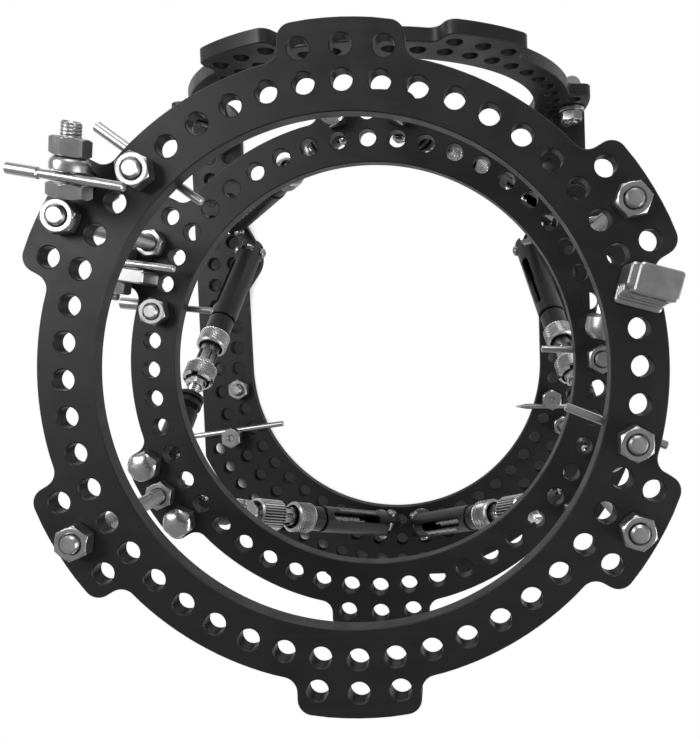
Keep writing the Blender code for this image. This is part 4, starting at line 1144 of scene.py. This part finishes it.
FOOT_PINS = {
    "foot_left_pin": {
        "spot": (-9, FOOT_MIDDLE_ROW_R), "turn": -16.2, "back": 23.0 * MM, "forth": 28.7 * MM,
        "aside": 3.4 * MM, "nut": 0, "d": WIRE_D,
    },
    "foot_right_pin": {
        "spot": (10, HOLE_ROW_R), "turn": 13.2, "back": 9.6 * MM, "forth": 19.4 * MM, "aside": 4.1 * MM,
        "nut": 0, "d": WIRE_D, "tip": 6.0 * MM,
    },
}


def pin_bolt(name, spot, faces, pin, z, parent, body):
    bottom_face, top_face, under, over, end = faces
    bm = bmesh.new()
    add_bolt(bm, bottom_face, top_face, under, over, end, pin["nut"])
    way = Matrix.Rotation(math.radians(pin["turn"]), 2) @ -spot.xy.normalized()
    middle = Vector((-way.y, way.x)) * pin["aside"]
    start = middle - way * pin["back"]
    finish = middle + way * pin["forth"]
    add_pin(bm, Vector((*start, z)), Vector((*finish, z)), pin)
    settle(mesh_piece(name + "_dressed", bm, STEEL, parent @ Matrix.Translation(spot)), body, name)


def ring_pins(pins, bottom_face):
    faces = (bottom_face, bottom_face + PLATE_T, PIN_BOLT_UNDER, NUT_T, SCREW_END)
    for name, pin in pins.items():
        z = bottom_face - CLEAR - pin.get("thick", pin["d"]) / 2
        pin_bolt(name, hole_spot(pin["hole"], HOLE_ROW_R), faces, pin, z, AXIS, "ring_block")


def foot_pins():
    over = FOOT_TOP_Z + CLEAR + WIRE_D / 2
    faces = (HEAD_H, FOOT_TOP_Z + WIRE_D + 2 * CLEAR, HEAD_H - CLEAR, NUT_T, 0)
    for name, pin in FOOT_PINS.items():
        pin_bolt(name, heel_hole(*pin["spot"]), faces, pin, over, FOOT, "foot_frame")
    for side, spot in (("left", heel_hole(-11, HOLE_ROW_R)), ("right", heel_hole(9, FOOT_MIDDLE_ROW_R))):
        bm = bmesh.new()
        add_bolt(bm, HEAD_H, FOOT_TOP_Z, HEAD_H - CLEAR, NUT_T, FOOT_SCREW_END)
        made = mesh_piece(f"foot_{side}_nut_dressed", bm, STEEL, FOOT @ Matrix.Translation(spot))
        settle(made, "foot_frame", f"foot_{side}_nut")


def clamp(name, spot, top_face, axis_h, way, build, shift=Vector((0, 0, 0))):
    """Clamp on a ring: its screw through the ring and the parts that lie along a direction."""
    low = top_face - PLATE_T - CLEAR
    bm = bmesh.new()
    add_nut(bm, low - NUT_T, low, NUT_AF, None, (True, False))
    add_turned(bm, [(low, SCREW_D / 2), (top_face + axis_h, SCREW_D / 2)], None, 24)
    build(bm, along(way, Vector((0, 0, top_face + axis_h)) + shift))
    settle(mesh_piece(name + "_dressed", bm, STEEL, AXIS @ Matrix.Translation(spot)), "ring_block", name)


def clamped_pin(name, seat, way, pin):
    bm = bmesh.new()
    add_pin(bm, seat - way * pin["back"], seat + way * pin["forth"], pin)
    settle(mesh_piece(name + "_dressed", bm, BRIGHT_STEEL, AXIS), "ring_block", name)


def pin_seat(spot, z, shift, way, start):
    """Where a pin crosses a clamp's stack: in the gap that begins there, just over the neck."""
    over = (Vector((0, 0, 1)) - way * way.z).normalized() * (CLAMP_NECK_D / 2 + CLEAR + PIN_D / 2)
    return spot + shift + way * (start + CLAMP_GAP / 2) + over + Vector((0, 0, z))


def add_domed_washer(bm, low, high, diameter, way):
    """Thick washer whose far side is rounded off."""
    radius = diameter / 2
    add_turned(bm, [(low + (high - low) * share, radius * wide) for share, wide in DOME_ROWS], way)


def ring_a_clamps():
    block_end = CLAMP_START + CLAMP_BLOCK_T
    washer = block_end + CLAMP_GAP
    nut = washer + CLAMP_WASHER_T
    end = nut + CLAMP_NUT_T

    def left(bm, way):
        add_nut(bm, CLAMP_START, block_end, LEFT_BLOCK_AF, way)
        add_turned(bm, [(block_end, CLAMP_NECK_D / 2), (washer, CLAMP_NECK_D / 2)], way, 24)
        add_domed_washer(bm, washer, nut, CLAMP_WASHER_D, way)
        add_nut(bm, nut, end, NUT_AF, way, bore=SCREW_D / 2 + BORE_PLAY)
        add_thread(bm, nut, end + CLAMP_SCREW_END, SCREW_D, way)

    way = Vector((0.186, 0.96, 0.2)).normalized()
    spot = hole_spot(-41, TAB_ROW_R)
    axis_h = CLAMP_BLOCK_AF / 2 + CLAMP_TILT_RISE + CLEAR
    clamp("ring_a_left_clamp", spot, RING_A_TOP_Z, axis_h, way, left, LEFT_CLAMP_SHIFT)
    seat = pin_seat(spot, RING_A_TOP_Z + axis_h, Vector((0, 0, 0)), way, block_end)
    pin_way = Vector((way.y, -way.x, 0)).normalized()
    clamped_pin("ring_a_clamped_pin", seat, pin_way, RING_A_CLAMPED_PIN)

    def right(bm, _):
        """Ridged block that stands upright on the ring, whatever the clamp's direction."""
        upright = Matrix.Translation((RIDGED_X, RIDGED_Y, RING_A_TOP_Z + CLEAR))
        upright = upright @ Matrix.Rotation(RIDGED_TURN, 4, "Z")
        for low, high, out, down in RIDGES:
            middle = Matrix.Translation((-out / 2 * MM, -down / 2 * MM, (low + high) / 2 * MM))
            size = (RIDGED_LENGTH + out * MM, RIDGED_WIDTH + down * MM, (high - low) * MM)
            add_rounded_bar(bm, *size, upright @ middle)
        core = Matrix.Translation((-0.8 * MM, 0.8 * MM, RIDGED_TOP / 2 - 1.5 * MM))
        size = (RIDGED_LENGTH + 1.6 * MM, RIDGED_WIDTH - 1.6 * MM, RIDGED_TOP - 4 * MM)
        add_rounded_bar(bm, *size, upright @ core)

    clamp("ring_a_right_clamp", hole_spot(-10, HOLE_ROW_R), RING_A_TOP_Z, RIDGED_TOP / 2 + CLEAR, way, right)


def ring_b_clamps():
    gap_start = BAR_START - CLAMP_GAP
    bar_low = gap_start + CLAMP_GAP
    bar_high = bar_low + BAR_W
    way = Vector((-0.17, -0.985, 0)).normalized()
    across = Vector((-way.y, way.x, 0))

    def left(bm, where):
        add_nut(bm, gap_start - BAR_BLOCK_T, gap_start, BAR_BLOCK_AF, where)
        add_turned(bm, [(gap_start, CLAMP_NECK_D / 2), (bar_low, CLAMP_NECK_D / 2)], where, 24)
        add_nut(bm, bar_high, bar_high + NUT_T, CLAMP_NUT_AF, where, bore=SCREW_D / 2 + BORE_PLAY)
        add_thread(bm, bar_high, bar_high + NUT_T + BAR_SCREW_END, SCREW_D, where)
        middle = way * (bar_low + BAR_W / 2) + across * (BAR_REACH - BAR_LENGTH / 2)
        middle += Vector((0, 0, RING_B_TOP_Z + BAR_AXIS_H))
        turned = Matrix.Translation(middle) @ Matrix.Rotation(math.atan2(across.y, across.x), 4, "Z")
        add_rounded_bar(bm, BAR_LENGTH, BAR_W, 2 * (BAR_AXIS_H - CLEAR), turned)

    spot = hole_spot(-39, TAB_ROW_R)
    shift = -across * BAR_SHIFT
    clamp("ring_b_left_clamp", spot, RING_B_TOP_Z, BAR_AXIS_H, way, left, shift)
    seat = pin_seat(spot, RING_B_TOP_Z + BAR_AXIS_H, shift, way, gap_start)
    pin_way = Vector((0.989, -0.145, 0)).normalized()
    clamped_pin("ring_b_clamped_pin", seat, pin_way, RING_B_CLAMPED_PIN)

    def right(bm, way):
        block_end = NOSE_START + NOSE_BLOCK_T
        nose = block_end - NOSE_SUNK
        add_nut(bm, NOSE_START, block_end, NOSE_BLOCK_AF, way)
        add_turned(bm, [(nose + NOSE_LENGTH * share, NOSE_R * wide) for share, wide in NOSE_ROWS], way)

    way = Vector((-0.2, -1, 0)).normalized()
    clamp("ring_b_right_clamp", hole_spot(-11, HOLE_ROW_R), RING_B_TOP_Z, NOSE_AXIS_H, way, right)


def add_rounded_bar(bm, length, width, height, matrix):
    """Upright bar with softly rounded long edges and ends."""
    edge = 1.2 * MM
    rim = min(0.5 * MM, height / 4)
    rows = []
    half_l, half_w = length / 2, width / 2
    outline = []
    for x, y in ((half_l, half_w), (-half_l, half_w), (-half_l, -half_w), (half_l, -half_w)):
        outline.append((Vector((x, y)), edge))
    shape = rounded(outline, 5)
    for inset, level in ((rim, -height / 2), (0, -height / 2 + rim), (0, height / 2 - rim), (rim, height / 2)):
        scale_x, scale_y = 1 - inset / half_l, 1 - inset / half_w
        rows.append([(p.x * scale_x, p.y * scale_y, level) for p in shape])
    add_grid(bm, rows, matrix)


def arch_fixing(name, side):
    post = ARCH_POST_D / 2
    shank = SCREW_D / 2
    low = HEAD_H - CLEAR
    axis_z = FOOT_TOP_Z + ARCH_CENTRE_Z
    bm = bmesh.new()
    add_nut(bm, 0, low, NUT_AF, None, (True, False))
    add_turned(bm, [(low, shank), (FOOT_TOP_Z + CLEAR, shank)], None, 24)
    base = FOOT_TOP_Z + CLEAR
    edge = 0.5 * MM
    top = axis_z + post
    add_turned(bm, [(base, post - edge), (base + edge, post), (top - edge, post), (top, post - edge)])
    way = along((0, -1, 0), (0, 0, axis_z))
    front = post + ARCH_GAP + PLATE_T + ARCH_GAP
    add_turned(bm, [(0, shank), (front, shank)], way, 24)
    nut = front + ARCH_WASHER_T
    add_washer(bm, front, nut, ARCH_WASHER_D, way)
    add_nut(bm, nut, nut + NUT_T, NUT_AF, way, bore=shank + BORE_PLAY)
    add_thread(bm, nut, nut + NUT_T + SCREW_END, SCREW_D, way)
    spot = Vector((side * TAB_ROW_R, arch_post_y(), 0))
    settle(mesh_piece(name + "_dressed", bm, STEEL, FOOT @ Matrix.Translation(spot)), "foot_frame", name)


# Stage

def split_by_camera(tree, others, seen, out):
    """Gives the camera one shader and every other ray another."""
    path = tree.nodes.new("ShaderNodeLightPath")
    mix = tree.nodes.new("ShaderNodeMixShader")
    tree.links.new(path.outputs["Is Camera Ray"], mix.inputs["Fac"])
    tree.links.new(others, mix.inputs[1])
    tree.links.new(seen, mix.inputs[2])
    tree.links.new(mix.outputs["Shader"], out.inputs["Surface"])


def stage():
    mesh = bpy.data.meshes.new("floor")
    bm = bmesh.new()
    bmesh.ops.create_grid(bm, x_segments=1, y_segments=1, size=3)
    bm.to_mesh(mesh)
    bm.free()
    floor = bpy.data.objects.new("floor", mesh)
    floor.location = (0, 0, -0.5 * MM)
    made, tree, shader = new_material("floor")
    shader.inputs["Base Color"].default_value = (0.85, 0.85, 0.85, 1)
    shader.inputs["Roughness"].default_value = 0.8
    # The camera sees the floor as white emission darkened by ambient occlusion: painted shade under the foot
    # plate and inside its holes.
    white_with_painted_shade = tree.nodes.new("ShaderNodeEmission")
    shade = tree.nodes.new("ShaderNodeAmbientOcclusion")
    shade.inputs["Distance"].default_value = 60 * MM
    shade.samples = 32
    tree.links.new(ramp(tree, shade.outputs["AO"], ((0.25, 0.03), (0.4, 1.0))), white_with_painted_shade.inputs["Color"])
    white_with_painted_shade.inputs["Strength"].default_value = 1.0
    split_by_camera(tree, shader.outputs["BSDF"], white_with_painted_shade.outputs["Emission"], tree.nodes["Material Output"])
    mesh.materials.append(made)
    bpy.context.scene.collection.objects.link(floor)

    world = bpy.context.scene.world or bpy.data.worlds.new("studio")
    bpy.context.scene.world = world
    world.use_nodes = True
    nodes = world.node_tree.nodes
    back = nodes.get("Background") or nodes.new("ShaderNodeBackground")
    back.inputs["Color"].default_value = (1, 1, 1, 1)
    back.inputs["Strength"].default_value = 0.32
    camera_back = nodes.new("ShaderNodeBackground")
    camera_back.inputs["Color"].default_value = (1, 1, 1, 1)
    camera_back.inputs["Strength"].default_value = 1.0
    out = nodes.get("World Output") or nodes.new("ShaderNodeOutputWorld")
    split_by_camera(world.node_tree, back.outputs["Background"], camera_back.outputs["Background"], out)

    lights = (
        ("key", (-0.6, 0.3, 0.75), 0.5, 6.5),
        ("fill", (0.7, -0.3, 0.5), 0.6, 4.0),
        ("rim", (0.1, 0.9, 0.6), 0.6, 4.0),
    )
    for name, place, size, power in lights:
        lamp = bpy.data.lights.new(name, "AREA")
        lamp.shape = "DISK"
        lamp.size = size
        lamp.energy = power
        made = bpy.data.objects.new(name, lamp)
        made.location = place
        made.rotation_euler = (Vector((0, 0, 0.1)) - Vector(place)).to_track_quat("-Z", "Y").to_euler()
        bpy.context.scene.collection.objects.link(made)


def camera():
    """Camera at the photograph's place: above the front ring, looking down the ring axis."""
    data = bpy.data.cameras.new("camera")
    data.sensor_width = SENSOR
    data.lens = FOCAL_PX / PHOTO_H * SENSOR
    data.shift_x = (PHOTO_W / 2 - CENTRE_PX[0]) / PHOTO_H
    data.shift_y = (CENTRE_PX[1] - PHOTO_H / 2) / PHOTO_H
    data.clip_start = 0.01
    made = bpy.data.objects.new("camera", data)
    turn = Matrix(((0.9994, -0.02532, -0.02382), (0.02449, 0.99911, -0.03446), (0.02467, 0.03386, 0.99912)))
    made.matrix_world = Matrix.Translation((36.72 * MM, 1.39 * MM, 416.9 * MM)) @ turn.transposed().to_4x4()
    bpy.context.scene.collection.objects.link(made)
    bpy.context.scene.camera = made
    bpy.context.scene.view_settings.view_transform = "Standard"


def main():
    ring("ring_a_dressed", "ring_a", RING_A_TOP_Z)
    ring("ring_b_dressed", "ring_b", RING_B_TOP_Z)
    foot_plate()
    arch()
    for key, strut in STRUTS.items():
        style = STYLES[strut["style"]]
        foot_joint(key, strut)
        tube(key, strut, style)
        collar(key, strut, style)
        knob(key, strut, style)
        rod(key, strut, style)
        ring_joint(key, strut)
    for number, (k, turn) in enumerate(((-8, -20), (-16, 12), (-32, -8), (-40, -25)), 1):
        threaded_rod(number, k, turn)
    ring_pins(RING_A_PINS, RING_A_BOTTOM_Z)
    ring_pins(RING_B_PINS, RING_B_BOTTOM_Z)
    foot_pins()
    ring_a_clamps()
    ring_b_clamps()
    arch_fixing("arch_fixing_left", -1)
    arch_fixing("arch_fixing_right", 1)
    stage()
    camera()


main()
